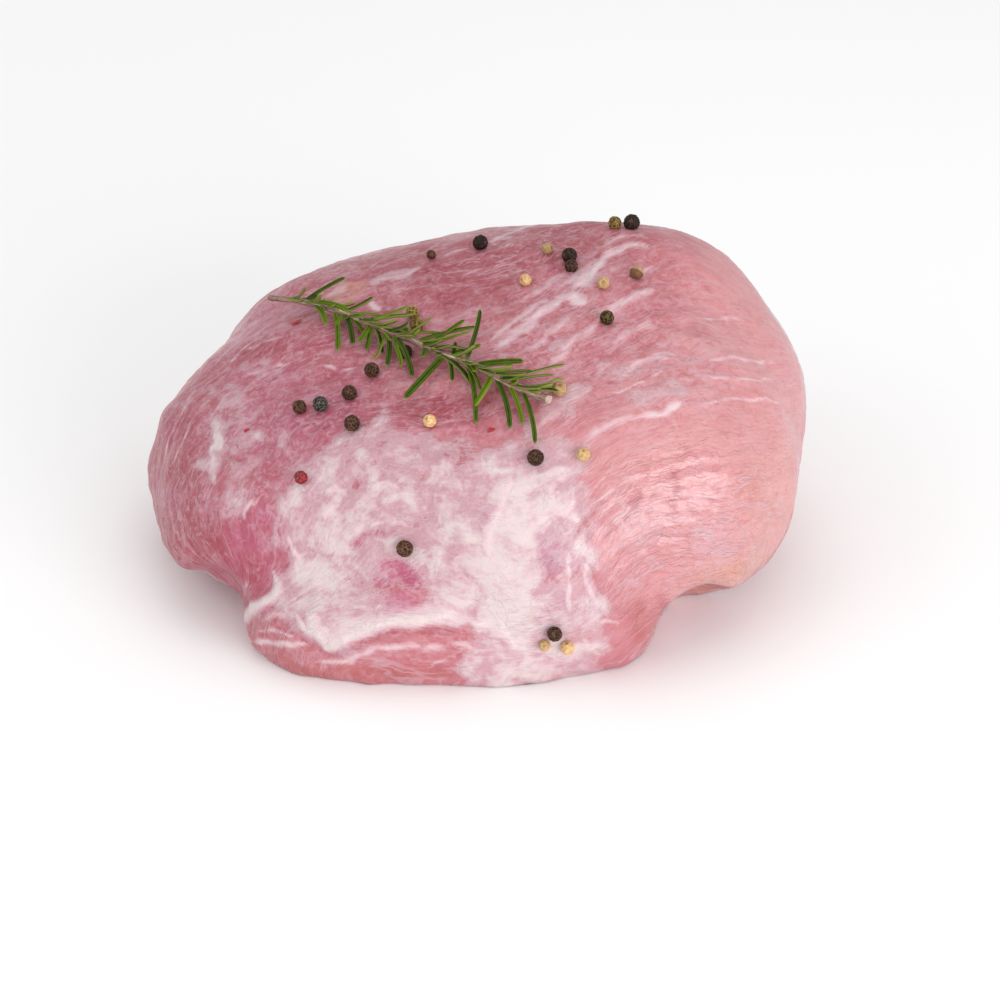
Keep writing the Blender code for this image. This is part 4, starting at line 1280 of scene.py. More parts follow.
def peppercorn_tree():
    """Dried berries, one at each point, with ridges and a dimple."""
    tree, given, result = geometry_tree(
        "Peppercorns",
        [
            ("Ridge depth", "Float", 0.1),
            ("Ridge size", "Float", 2.4),
            ("Dimple depth", "Float", 0.1),
            ("Material", "Material", None),
        ],
    )
    ball = add_node(tree, "GeometryNodeMeshIcoSphere", {"Radius": 1.0, "Subdivisions": 5}).outputs[0]
    where = tree.nodes.new("GeometryNodeInputPosition").outputs[0]
    ball = keep(tree, ball, "Local", where, "FLOAT_VECTOR")
    turn = add_node(tree, "FunctionNodeEulerToRotation", {0: named(tree, "Turn", "FLOAT_VECTOR")}).outputs[0]
    inputs = {"Points": given["Geometry"], "Instance": ball, "Rotation": turn, "Scale": named(tree, "Radius")}
    placed = add_node(tree, "GeometryNodeInstanceOnPoints", inputs).outputs[0]
    berries = add_node(tree, "GeometryNodeRealizeInstances", {0: placed}).outputs[0]
    local = named(tree, "Local", "FLOAT_VECTOR")
    number = named(tree, "Number")
    apart = add_node(tree, "ShaderNodeCombineXYZ", {0: number, 1: number, 2: number}).outputs[0]
    own = add_node(tree, "ShaderNodeVectorMath", {0: local, 1: scaled(tree, apart, 3.7)}, operation="ADD").outputs[0]
    bend = add_node(tree, "ShaderNodeTexNoise", {"Vector": own, "Scale": 1.6, "Detail": 2.0}).outputs[1]
    own = add_node(tree, "ShaderNodeVectorMath", {0: own, 1: scaled(tree, bend, 0.7)}, operation="ADD").outputs[0]
    cells = add_node(tree, "ShaderNodeTexVoronoi", {"Vector": own, "Scale": given["Ridge size"]})
    cells.feature = "DISTANCE_TO_EDGE"
    ridge = stretch(tree, cells.outputs["Distance"], 0.0, 0.19, 1.0, 0.0)
    up = add_node(tree, "ShaderNodeSeparateXYZ", {0: local}).outputs[2]
    dimple = stretch(tree, up, 0.90, 1.0)
    lumps = cloud(tree, own, 1.3, 2.0)
    height = reckon(tree, "MULTIPLY", ridge, given["Ridge depth"])
    height = reckon(tree, "SUBTRACT", height, reckon(tree, "MULTIPLY", dimple, given["Dimple depth"]))
    height = reckon(tree, "MULTIPLY_ADD", reckon(tree, "SUBTRACT", lumps, 0.5), 0.14, height)
    height = reckon(tree, "SUBTRACT", height, reckon(tree, "MULTIPLY", given["Ridge depth"], 1.1))
    height = reckon(tree, "MULTIPLY", height, named(tree, "Radius"))
    normal = tree.nodes.new("GeometryNodeInputNormal").outputs[0]
    berries = keep(tree, berries, "Ridge", ridge)
    berries = add_node(
        tree, "GeometryNodeSetPosition", {"Geometry": berries, "Offset": scaled(tree, normal, height)}
    ).outputs[0]
    berries = add_node(tree, "GeometryNodeSetShadeSmooth", {"Geometry": berries}).outputs[0]
    berries = add_node(
        tree, "GeometryNodeSetMaterial", {"Geometry": berries, "Material": given["Material"]}
    ).outputs[0]
    feed(tree, result[0], berries)
    spread_nodes(tree)
    return tree


def grown(source, tree, name, inputs):
    """The plain mesh that a geometry tree makes from an object, as a new object."""
    modifier = source.modifiers.new(tree.name, "NODES")
    modifier.node_group = tree
    identifiers = {item.name: item.identifier for item in tree.interface.items_tree if item.in_out == "INPUT"}
    for label, value in inputs.items():
        modifier[identifiers[label]] = value
    graph = bpy.context.evaluated_depsgraph_get()
    mesh = bpy.data.meshes.new_from_object(source.evaluated_get(graph), depsgraph=graph)
    mesh.name = name
    made = bpy.data.objects.new(name, mesh)
    bpy.context.scene.collection.objects.link(made)
    bpy.data.objects.remove(source, do_unlink=True)
    if not len(mesh.polygons):
        raise RuntimeError(f"{name} came out empty")
    return made


def peppercorn_rest(near, diameter):
    """Centre and radius of a peppercorn resting on the meat."""
    foot = onto_skin(near)
    radius = diameter / 2.0
    return foot + skin_normal(foot) * radius * PEPPERCORN_STAND, radius


def peppercorn_piece(kind, tree, material, ridge_depth, ridge_size, dimple_depth):
    """All the peppercorns of one kind, as one piece."""
    name = "pepper_" + kind
    draw = random.Random(SEED + len(name))
    chosen = [row for row in PEPPERCORNS if row[0] == kind]
    rests = [peppercorn_rest(near, diameter) for _, near, diameter in chosen]
    points = bpy.data.meshes.new(name + " points")
    points.from_pydata([tuple(middle * MM) for middle, _ in rests], [], [])
    values = {"Radius": [radius * MM for _, radius in rests], "Number": list(range(len(rests)))}
    for label, row in values.items():
        points.attributes.new(label, "FLOAT", "POINT").data.foreach_set("value", [float(v) for v in row])
    turns = []
    for _ in rests:
        tip, turn = HALF_BROWN if kind == "half" else (draw.uniform(*EYE_TIPS), draw.uniform(*EYE_TURNS))
        turns += [math.radians(tip), 0.0, math.radians(turn)]
    points.attributes.new("Turn", "FLOAT_VECTOR", "POINT").data.foreach_set("vector", turns)
    source = bpy.data.objects.new(name + " points", points)
    bpy.context.scene.collection.objects.link(source)
    inputs = {
        "Ridge depth": ridge_depth,
        "Ridge size": ridge_size,
        "Dimple depth": dimple_depth,
        "Material": material,
    }
    return grown(source, tree, name, inputs)


def pepper_material(name, hollow, crest, speck, brown, roughness, gloss, half_brown):
    """Dried husk: dark in its hollows and lighter on its ridges, partly its own colours and partly painted shade and
    highlight, with a dark eye.
    """
    made, tree, shader = new_material(name)
    place = tree.nodes.new("ShaderNodeTexCoord").outputs["Object"]
    ridge = reading(tree, "Ridge")
    number = reading(tree, "Number")
    grain = cloud(tree, place, 900.0, 4.0, 0.6)
    own = reckon(tree, "FRACT", reckon(tree, "MULTIPLY", number, 0.617))
    share = reckon(tree, "MULTIPLY_ADD", grain, 0.9, -0.25)
    share = reckon(tree, "MULTIPLY", stretch(tree, reckon(tree, "ADD", share, ridge), 0.3, 1.3), 0.9)
    # Hollow and ridge colours: partly the husk's own colours, partly painted shade in the hollows and painted highlight
    # on the ridges.
    colour = blend(tree, share, hollow, crest)
    colour = blend(tree, reckon(tree, "MULTIPLY", stretch(tree, grain, 0.60, 0.72), 0.6), colour, speck)
    colour = scaled(tree, colour, reckon(tree, "MULTIPLY_ADD", own, 0.6, 0.7))
    up = add_node(tree, "ShaderNodeSeparateXYZ", {0: reading(tree, "Local", "Vector")}).outputs[2]
    if half_brown:
        lower = stretch(tree, reckon(tree, "MULTIPLY_ADD", grain, 0.4, up), 0.10, 0.35)
        colour = blend(tree, lower, colour, brown)
    else:
        eye = stretch(tree, up, 0.93, 0.99)
        colour = blend(tree, reckon(tree, "MULTIPLY", eye, 0.55), colour, brown)
    feed(tree, shader.inputs["Base Color"], colour)
    height = reckon(tree, "MULTIPLY_ADD", grain, 0.10, 0.0)
    bump = add_node(tree, "ShaderNodeBump", {"Strength": 1.0, "Distance": 0.001, "Height": height})
    feed(tree, shader.inputs["Normal"], bump.outputs[0])
    shader.inputs["Roughness"].default_value = roughness
    shader.inputs["Specular IOR Level"].default_value = gloss
    spread_nodes(tree)
    return made


# Rosemary


def clear_of(middles):
    """A distance rule for the sprig: the meat, and the peppercorns a little larger."""
    centres = np.array([middle for middle, _ in middles])
    radii = np.array([radius for _, radius in middles])

    def measure(points):
        apart = np.linalg.norm(points[:, None, :] - centres[None], axis=2) - radii[None]
        return np.minimum(skin(points), apart.min(axis=1) - PEPPERCORN_GAP)

    return measure


def lifted(point, solid, room):
    """Move a point out until there is room between it and what lies below."""
    place = np.array(point, dtype=float)
    for _ in range(SETTLING_STEPS):
        short = room - solid(place[None])[0]
        if short <= 0.0:
            break
        place = place + skin_normal(place, solid) * short
    return place


def stem_path(solid):
    """Points along the middle of the stem."""
    nodes = []
    for x, y, height in STEM_ROUTE:
        nodes.append(np.array([x, y, top_of_meat(x, y) + height]))
    nodes = [2 * nodes[0] - nodes[1]] + nodes + [2 * nodes[-1] - nodes[-2]]
    path = []
    for i in range(1, len(nodes) - 2):
        before, start, end, after = nodes[i - 1 : i + 3]
        last_span = i == len(nodes) - 3
        for k in range(STEM_STEPS_PER_SPAN + (1 if last_span else 0)):
            t = k / STEM_STEPS_PER_SPAN
            path.append(
                0.5
                * (
                    2 * start
                    + (end - before) * t
                    + (2 * before - 5 * start + 4 * end - after) * t**2
                    + (3 * start - before - 3 * end + after) * t**3
                )
            )
    return [lifted(p, solid, STEM_RADIUS_END + SPRIG_GAP) for p in path]


def along_path(path, distance):
    """The point at a distance along the path, and the way it runs there."""
    left = distance
    for start, end in zip(path, path[1:]):
        step = np.linalg.norm(end - start)
        if left <= step:
            return start + (end - start) * left / step, (end - start) / step
        left -= step
    return path[-1], (path[-1] - path[-2]) / np.linalg.norm(path[-1] - path[-2])


def needle_axis(foot, ahead, heading, reach, height, solid, draw):
    """Middle line of a needle, from its foot in the stem to its tip over the meat."""
    angle = math.radians(heading)
    tip_x = foot[0] + reach * math.cos(angle)
    tip_y = foot[1] + reach * math.sin(angle)
    tip = np.array([tip_x, tip_y, top_of_meat(tip_x, tip_y) + height])
    length = np.linalg.norm(tip - foot)
    bow = NEEDLE_BOW * length * draw.uniform(0.7, 1.3)
    knee = (foot + tip) / 2.0 + ahead * bow + np.array([0.0, 0.0, bow])
    room = NEEDLE_THICKNESS / 2.0 + SPRIG_GAP
    line = []
    for k in range(NEEDLE_RINGS + 1):
        t = k / NEEDLE_RINGS
        point = (1 - t) ** 2 * foot + 2 * t * (1 - t) * knee + t**2 * tip
        line.append(lifted(point, solid, room))
    return line


def sprig_lines():
    """Middle lines of the stem and of every needle."""
    middles = [peppercorn_rest(near, diameter) for _, near, diameter in PEPPERCORNS]
    solid = clear_of(middles)
    path = stem_path(solid)
    draw = random.Random(SEED + 2)
    needles = []
    for distance, heading, reach, height, width in NEEDLES:
        foot, ahead = along_path(path, distance)
        needles.append((needle_axis(foot, ahead, heading, reach, height, solid, draw), width))
    return path, needles + bud_lines(path, solid)


def bud_lines(path, solid):
    """Middle lines and widths of the small young leaves that crowd the stem."""
    draw = random.Random(SEED + 4)
    lines = []
    distance = BUDS_START
    while distance < BUDS_END:
        foot, ahead = along_path(path, distance)
        side = np.cross(ahead, (0.0, 0.0, 1.0))
        side /= np.linalg.norm(side)
        length = draw.uniform(2.5, 7.0) if draw.random() < 0.55 else draw.uniform(8.0, 14.0)
        lean = side * draw.uniform(-0.9, 0.9) + np.array([0.0, 0.0, draw.uniform(0.1, 0.9)])
        line = []
        for k in range(BUD_RINGS + 1):
            t = k / BUD_RINGS
            point = foot + length * (t * ahead + (0.35 * t + 0.4 * t * t) * lean)
            line.append(lifted(point, solid, NEEDLE_THICKNESS / 2.0 + SPRIG_GAP))
        lines.append((line, draw.uniform(1.4, 2.1)))
        distance += draw.uniform(1.2, 2.8)
    return lines


def curve_object(name, lines):
    """A curve object with one open line for each row of points, with radius and tilt."""
    curve = bpy.data.curves.new(name, "CURVE")
    curve.dimensions = "3D"
    for points, radii, tilt in lines:
        spline = curve.splines.new("POLY")
        spline.points.add(len(points) - 1)
        for slot, place, radius in zip(spline.points, points, radii):
            slot.co = (*(place * MM), 1.0)
            slot.radius = radius * MM
            slot.tilt = tilt
    made = bpy.data.objects.new(name, curve)
    bpy.context.scene.collection.objects.link(made)
    return made


def needle_tree():
    """Rosemary needles swept along their middle lines: grooved above, rolled under at the edges."""
    tree, given, result = geometry_tree(
        "Rosemary needles",
        [
            ("Thickness", "Float", 0.5),
            ("Groove", "Float", 0.2),
            ("Hollow", "Float", 0.3),
            ("Material", "Material", None),
        ],
    )
    lines = add_node(tree, "GeometryNodeResampleCurve", {"Curve": given["Geometry"], "Count": 16}).outputs[0]
    lines = add_node(tree, "GeometryNodeSetCurveNormal", {"Curve": lines}, mode="Z_UP").outputs[0]
    share = tree.nodes.new("GeometryNodeSplineParameter").outputs["Factor"]
    lines = keep(tree, lines, "Along", share)
    index = tree.nodes.new("GeometryNodeInputIndex").outputs[0]
    chance = add_node(tree, "FunctionNodeRandomValue", {"ID": index, "Seed": SEED}, data_type="FLOAT").outputs[1]
    lines = keep(tree, lines, "Shade", chance, domain="CURVE")
    along = named(tree, "Along")
    body = stretch(tree, along, 0.0, 0.16, 0.6, 1.0)
    tip = stretch(tree, along, 0.80, 1.0, 1.0, 0.78)
    point = reckon(tree, "SQRT", stretch(tree, along, 1.0, 0.94, 0.002, 1.0, smooth=False))
    radius = reckon(tree, "MULTIPLY", reckon(tree, "MULTIPLY", body, tip), point)
    own = tree.nodes.new("GeometryNodeInputRadius").outputs[0]
    radius = reckon(tree, "MULTIPLY", radius, own)
    ring = add_node(tree, "GeometryNodeCurvePrimitiveCircle", {"Resolution": 16, "Radius": 1.0}).outputs[0]
    where = tree.nodes.new("GeometryNodeInputPosition").outputs[0]
    ring = keep(tree, ring, "Around", where, "FLOAT_VECTOR")
    around = add_node(tree, "ShaderNodeSeparateXYZ", {0: named(tree, "Around", "FLOAT_VECTOR")}).outputs
    wide = reckon(tree, "ABSOLUTE", around[0])
    above = reckon(tree, "GREATER_THAN", around[1], 0.0)
    groove = reckon(tree, "MULTIPLY", stretch(tree, wide, 0.42, 0.0), given["Groove"])
    hollow = reckon(tree, "MULTIPLY", stretch(tree, wide, 0.8, 0.1), given["Hollow"])
    sink = reckon(tree, "MULTIPLY", above, groove)
    rise = reckon(tree, "MULTIPLY", reckon(tree, "SUBTRACT", 1.0, above), hollow)
    flat = reckon(tree, "MULTIPLY", around[1], given["Thickness"])
    level = reckon(tree, "SUBTRACT", reckon(tree, "ADD", flat, rise), sink)
    turned = (reckon(tree, "MULTIPLY", around[0], -1.0), reckon(tree, "MULTIPLY", level, -1.0))
    spot = add_node(tree, "ShaderNodeCombineXYZ", {0: turned[0], 1: turned[1]}).outputs[0]
    ring = add_node(tree, "GeometryNodeSetPosition", {"Geometry": ring, "Position": spot}).outputs[0]
    inputs = {"Curve": lines, "Profile Curve": ring, "Scale": radius, "Fill Caps": True}
    leaves = add_node(tree, "GeometryNodeCurveToMesh", inputs).outputs[0]
    leaves = add_node(tree, "GeometryNodeSetShadeSmooth", {"Geometry": leaves}).outputs[0]
    leaves = add_node(tree, "GeometryNodeRealizeInstances", {0: leaves}).outputs[0]
    leaves = add_node(
        tree, "GeometryNodeSetMaterial", {"Geometry": leaves, "Material": given["Material"]}
    ).outputs[0]
    feed(tree, result[0], leaves)
    spread_nodes(tree)
    return tree


def stem_tree():
    """The woody stem, with bark ridges along it and swellings where needles grow."""
    tree, given, result = geometry_tree(
        "Rosemary stem", [("Bark depth", "Float", 0.0001), ("Material", "Material", None)]
    )
    lines = add_node(tree, "GeometryNodeResampleCurve", {"Curve": given["Geometry"], "Count": 170}).outputs[0]
    share = tree.nodes.new("GeometryNodeSplineParameter").outputs["Factor"]
    lines = keep(tree, lines, "Along", share)
    ring = add_node(tree, "GeometryNodeCurvePrimitiveCircle", {"Resolution": 20, "Radius": 1.0}).outputs[0]
    where = tree.nodes.new("GeometryNodeInputPosition").outputs[0]
    ring = keep(tree, ring, "Around", where, "FLOAT_VECTOR")
    radius = tree.nodes.new("GeometryNodeInputRadius").outputs[0]
    inputs = {"Curve": lines, "Profile Curve": ring, "Scale": radius, "Fill Caps": True}
    stem = add_node(tree, "GeometryNodeCurveToMesh", inputs).outputs[0]
    around = named(tree, "Around", "FLOAT_VECTOR")
    shift = add_node(tree, "ShaderNodeCombineXYZ", {2: reckon(tree, "MULTIPLY", named(tree, "Along"), 16.0)}).outputs[0]
    bark = add_node(tree, "ShaderNodeVectorMath", {0: scaled(tree, around, 4.5), 1: shift}, operation="ADD").outputs[0]
    ridges = cloud(tree, bark, 1.0, 3.0, 0.6)
    knots = stretch(tree, reckon(tree, "SINE", reckon(tree, "MULTIPLY", named(tree, "Along"), 150.0)), 0.6, 1.0)
    height = reckon(tree, "MULTIPLY_ADD", knots, 0.6, reckon(tree, "MULTIPLY", ridges, 2.6))
    height = reckon(tree, "MULTIPLY", reckon(tree, "SUBTRACT", height, 1.3), given["Bark depth"])
    normal = tree.nodes.new("GeometryNodeInputNormal").outputs[0]
    stem = keep(tree, stem, "Bark", ridges)
    stem = add_node(
        tree, "GeometryNodeSetPosition", {"Geometry": stem, "Offset": scaled(tree, normal, height)}
    ).outputs[0]
    stem = add_node(tree, "GeometryNodeSetShadeSmooth", {"Geometry": stem}).outputs[0]
    stem = add_node(tree, "GeometryNodeRealizeInstances", {0: stem}).outputs[0]
    stem = add_node(
        tree, "GeometryNodeSetMaterial", {"Geometry": stem, "Material": given["Material"]}
    ).outputs[0]
    feed(tree, result[0], stem)
    spread_nodes(tree)
    return tree


def needle_material(look):
    """Rosemary leaf: dark green above with a groove, pale below and at its foot, with painted highlight at its edges
    and painted shade along the groove.
    """
    made, tree, shader = new_material("Rosemary leaf")
    place = tree.nodes.new("ShaderNodeTexCoord").outputs["Object"]
    around = add_node(tree, "ShaderNodeSeparateXYZ", {0: reading(tree, "Around", "Vector")}).outputs
    along = reading(tree, "Along")
    shade = reading(tree, "Shade")
    mottle = cloud(tree, place, 700.0, 3.0, 0.6)
    share = stretch(tree, reckon(tree, "MULTIPLY_ADD", mottle, 0.6, shade), 0.45, 1.30)
    green = blend(tree, share, look.leaf_colour, look.leaf_light)
    # Pale edges: partly the rolled-under margins, partly painted highlight.
    edge = stretch(tree, reckon(tree, "ABSOLUTE", around[0]), 0.80, 0.97)
    green = blend(tree, reckon(tree, "MULTIPLY", edge, 0.5), green, look.leaf_under)
    # Painted highlight: a pale line along each shoulder of the groove.
    ridge = stretch(tree, reckon(tree, "ABSOLUTE", reckon(tree, "SUBTRACT", reckon(tree, "ABSOLUTE", around[0]), 0.5)), 0.2, 0.0)
    green = blend(tree, reckon(tree, "MULTIPLY", ridge, 0.22), green, look.leaf_under)
    # Dark middle line: partly the leaf's own dark midline, partly painted shade in the groove.
    groove = stretch(tree, reckon(tree, "ABSOLUTE", around[0]), 0.34, 0.05)
    green = blend(tree, reckon(tree, "MULTIPLY", groove, 0.55), green, look.leaf_colour)
    blunt = stretch(tree, along, 0.93, 1.0)
    green = blend(tree, reckon(tree, "MULTIPLY", blunt, 0.6), green, look.leaf_under)
    below = stretch(tree, around[1], 0.05, -0.35)
    green = blend(tree, reckon(tree, "MULTIPLY", below, 0.75), green, look.leaf_under)
    foot = stretch(tree, along, 0.16, 0.0)
    green = blend(tree, reckon(tree, "MULTIPLY", foot, 0.7), green, look.leaf_under)
    feed(tree, shader.inputs["Base Color"], green)
    bump = add_node(tree, "ShaderNodeBump", {"Strength": 0.6, "Distance": 0.0003, "Height": mottle})
    feed(tree, shader.inputs["Normal"], bump.outputs[0])
    shader.inputs["Roughness"].default_value = 0.42
    shader.inputs["Specular IOR Level"].default_value = 0.08
    spread_nodes(tree)
    return made


def stem_material(look):
    """Young wood: grey-brown bark, and pale wood where it is cut."""
    made, tree, shader = new_material("Rosemary stem")
    place = tree.nodes.new("ShaderNodeTexCoord").outputs["Object"]
    bark = reading(tree, "Bark")
    along = reading(tree, "Along")
    grain = cloud(tree, place, 1200.0, 3.0, 0.6)
    share = stretch(tree, reckon(tree, "MULTIPLY_ADD", grain, 0.4, bark), 0.48, 0.80)
    wood = blend(tree, share, look.stem_dark, look.stem_colour)
    fibre = stretch(tree, bark, 0.53, 0.63)
    wood = blend(tree, reckon(tree, "MULTIPLY", fibre, 0.75), wood, look.stem_cut)
    cut = reckon(tree, "GREATER_THAN", along, 0.992)
    wood = blend(tree, reckon(tree, "MULTIPLY", cut, 0.8), wood, look.stem_cut)
    feed(tree, shader.inputs["Base Color"], wood)
    bump = add_node(tree, "ShaderNodeBump", {"Strength": 0.8, "Distance": 0.0003, "Height": grain})
    feed(tree, shader.inputs["Normal"], bump.outputs[0])
    shader.inputs["Roughness"].default_value = 0.7
    spread_nodes(tree)
    return made


# Settings that a user may change


def colour_setting(name, text, default):
    """A colour property."""
    return bpy.props.FloatVectorProperty(
        name=name, description=text, subtype="COLOR", size=3, min=0.0, max=1.0, default=default
    )


class PorkLegMeatSettings(bpy.types.PropertyGroup):
    """Colours and finish of the meat."""

    salmon_colour: colour_setting("Salmon", "Flesh of the right-hand lobe", from_screen(203, 140, 142))
    peach_colour: colour_setting("Peach", "Flesh low on the right-hand lobe", from_screen(200, 140, 124))
    rose_colour: colour_setting("Rose", "Flesh of the crown", from_screen(185, 110, 118))
    deep_colour: colour_setting("Deep rose", "Flesh at the back of the top", from_screen(158, 70, 82))
    mauve_colour: colour_setting("Mauve", "Flesh of the left half", from_screen(174, 93, 108))
    raspberry_colour: colour_setting("Raspberry", "Flesh seen through thin film", from_screen(172, 80, 106))
    bare_colour: colour_setting("Bare muscle", "Flesh with no film on it", from_screen(160, 62, 77))
    coral_colour: colour_setting("Coral", "Cut edge of the front flap", from_screen(178, 98, 98))
    orchid_colour: colour_setting("Orchid", "Pink hollows in the film", from_screen(180, 90, 122))
    lilac_colour: colour_setting("Lilac", "Cool hollows in the film", from_screen(182, 130, 152))
    film_colour: colour_setting("Film", "Thin silver film", from_screen(197, 161, 171))
    fat_colour: colour_setting("Fat", "Thick film, sinew and fat", from_screen(215, 200, 198))
    line_colour: colour_setting("Line", "Soft bands of sinew", from_screen(220, 192, 199))
    shade_tint: colour_setting("Shade tint", "How the darker clouds of the flesh are tinted", (0.76, 0.50, 0.54))
    fibre_width: bpy.props.FloatProperty(
        name="Fibre width",
        description="Width of the finest fibre streaks",
        default=0.0007,
        min=0.0002,
        max=0.005,
        unit="LENGTH",
    )
    translucency: bpy.props.FloatProperty(
        name="Translucency",
        description="How much light passes under the surface",
        default=0.18,
        min=0.0,
        max=1.0,
        subtype="FACTOR",
    )
    coat_roughness: bpy.props.FloatProperty(
        name="Wet film roughness",
        description="Roughness of the wet layer on the meat",
        default=0.16,
        min=0.0,
        max=1.0,
        subtype="FACTOR",
    )
    grid_cuts: bpy.props.IntProperty(
        name="Surface cuts",
        description="How finely the surface of the meat is divided",
        default=134,
        min=20,
        max=150,
    )
    lean: bpy.props.FloatProperty(
        name="Front detail",
        description="How much more finely the front is divided than the back",
        default=0.28,
        min=0.0,
        max=0.6,
    )


class PorkLegPepperSettings(bpy.types.PropertyGroup):
    """Colours and wrinkles of the peppercorns."""

    # Hollow and ridge colours of the peppercorns hold painted shade in the hollows and painted highlight on the ridges,
    # as well as the husks' own colours.
    black_colour: colour_setting("Black", "Hollows of black peppercorns", from_screen(24, 13, 10))
    black_ridge: colour_setting("Black ridge", "Ridges of black peppercorns", from_screen(72, 48, 38))
    brown_colour: colour_setting("Brown", "Hollows of brown peppercorns", from_screen(36, 18, 10))
    brown_ridge: colour_setting("Brown ridge", "Ridges of brown peppercorns", from_screen(112, 76, 54))
    grey_ridge: colour_setting("Grey ridge", "Ridges of grey peppercorns", from_screen(130, 126, 116))
    olive_colour: colour_setting("Olive", "Hollows of olive peppercorns", from_screen(34, 24, 8))
    olive_ridge: colour_setting("Olive ridge", "Ridges of olive peppercorns", from_screen(124, 98, 42))
    white_colour: colour_setting("White", "Skin of white peppercorns", from_screen(216, 182, 138))
    # The hollows of white peppercorns take painted shade, a darker cream.
    white_painted_shade: colour_setting("White shade", "Hollows of white peppercorns", from_screen(190, 150, 104))
    husk_colour: colour_setting("Husk", "Pale parts of cracked husks", from_screen(181, 155, 83))
    husk_shade: colour_setting("Husk shade", "Dark parts of cracked husks", from_screen(97, 73, 34))
    red_colour: colour_setting("Red", "Red pepper husk", from_screen(200, 14, 32))
    red_shade: colour_setting("Red shade", "Hollows of red pepper husk", from_screen(112, 5, 14))
    ridge_depth: bpy.props.FloatProperty(
        name="Ridge depth",
        description="Height of the ridges, as a share of the radius",
        default=0.13,
        min=0.0,
        max=0.4,
        subtype="FACTOR",
    )


class PorkLegSprigSettings(bpy.types.PropertyGroup):
    """Colours and shape of the rosemary sprig."""

    # Leaf also gives the painted shade in the groove, and leaf underside the painted highlight at the edges of a
    # needle.
    leaf_colour: colour_setting("Leaf", "Upper side of a needle", from_screen(36, 58, 2))
    leaf_light: colour_setting("Leaf light", "Lighter green of a needle", from_screen(92, 116, 12))
    leaf_under: colour_setting("Leaf underside", "Underside and foot of a needle", from_screen(144, 152, 74))
    stem_colour: colour_setting("Stem", "Bark of the stem", from_screen(158, 124, 110))
    stem_dark: colour_setting("Stem dark", "Furrows of the bark", from_screen(92, 64, 52))
    stem_cut: colour_setting("Stem cut", "Wood at the cut end", from_screen(208, 184, 168))
    leaf_thickness: bpy.props.FloatProperty(
        name="Needle thickness",
        description="Thickness of a needle as a share of its width",
        default=0.62,
        min=0.1,
        max=1.0,
        subtype="FACTOR",
    )
    leaf_width: bpy.props.FloatProperty(
        name="Needle width",
        description="Width of the needles, as a share of the width that each has in the table",
        default=0.9,
        min=0.3,
        max=2.0,
        subtype="FACTOR",
    )
    bark_depth: bpy.props.FloatProperty(
        name="Bark depth",
        description="Height of the ridges of the bark",
        default=0.00012,
        min=0.0,
        max=0.001,
        unit="LENGTH",
    )


class PorkLegStageSettings(bpy.types.PropertyGroup):
    """Floor and light."""

    floor_colour: colour_setting("Floor", "Colour of the floor", (0.94, 0.94, 0.94))
    floor_size: bpy.props.FloatProperty(
        name="Floor size", description="Length of a side of the floor", default=8.0, min=1.0, unit="LENGTH"
    )
    key_power: bpy.props.FloatProperty(
        name="Key light", description="Power of the large soft light at the front right", default=14.0, min=0.0, unit="POWER"
    )
    fill_power: bpy.props.FloatProperty(
        name="Fill light", description="Power of the soft light at the left", default=4.5, min=0.0, unit="POWER"
    )
    top_power: bpy.props.FloatProperty(
        name="Top light", description="Power of the soft light above", default=4.0, min=0.0, unit="POWER"
    )
    world_strength: bpy.props.FloatProperty(
        name="Room light", description="Strength of the white room all around", default=0.72, min=0.0
    )


# Operators that make the pieces


def settle(piece, node):
    """Put a finished piece on the body of the frame, in place of a CAD node."""
    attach(piece, "root")
    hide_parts(node)


class PORKLEG_OT_meat(bpy.types.Operator):
    """Make the joint of meat with its film, fat lines and fibres"""

    bl_idname = "porkleg.meat"
    bl_label = "Meat"

    def execute(self, context):
        look = context.scene.pork_leg_meat
        names = ("salmon", "peach", "rose", "deep", "mauve", "raspberry", "bare", "coral", "orchid", "lilac")
        palette = {name: tuple(getattr(look, name + "_colour")) for name in names}
        work = meat_grid(look.grid_cuts, look.lean)
        mesh = bpy.data.meshes.new("pork_meat")
        work.to_mesh(mesh)
        work.free()
        points = np.zeros(len(mesh.vertices) * 3)
        mesh.vertices.foreach_get("co", points)
        points = points.reshape(-1, 3)
        layers = MeatLayers(points, palette)
        layers.lay_marbling()
        layers.lay_tones()
        layers.lay_film()
        layers.lay_lines()
        layers.lay_hidden_lines()
        layers.finish_relief()
        moved = (points + layers.normals * layers.relief[:, None]) * MM
        moved[:, 2] = np.where(points[:, 2] < BASE_HEIGHT, 0.0, np.maximum(moved[:, 2], 0.0))
        mesh.vertices.foreach_set("co", moved.astype(np.float32).ravel())
        for label, values in (
            ("Across", layers.across),
            ("Film", layers.film),
            ("Fat", layers.fat),
            ("Wet", layers.wet),
            ("Marble", layers.marble),
        ):
            mesh.attributes.new(label, "FLOAT", "POINT").data.foreach_set("value", values.astype(np.float32))
        colours = np.concatenate([layers.tone, np.ones((len(points), 1))], axis=1).astype(np.float32)
        mesh.attributes.new("Tone", "FLOAT_COLOR", "POINT").data.foreach_set("color", colours.ravel())
        mesh.materials.append(pork_material(look))
        mesh.update()
        piece = bpy.data.objects.new("pork_meat", mesh)
        context.scene.collection.objects.link(piece)
        settle(piece, "pork_leg")
        return {"FINISHED"}


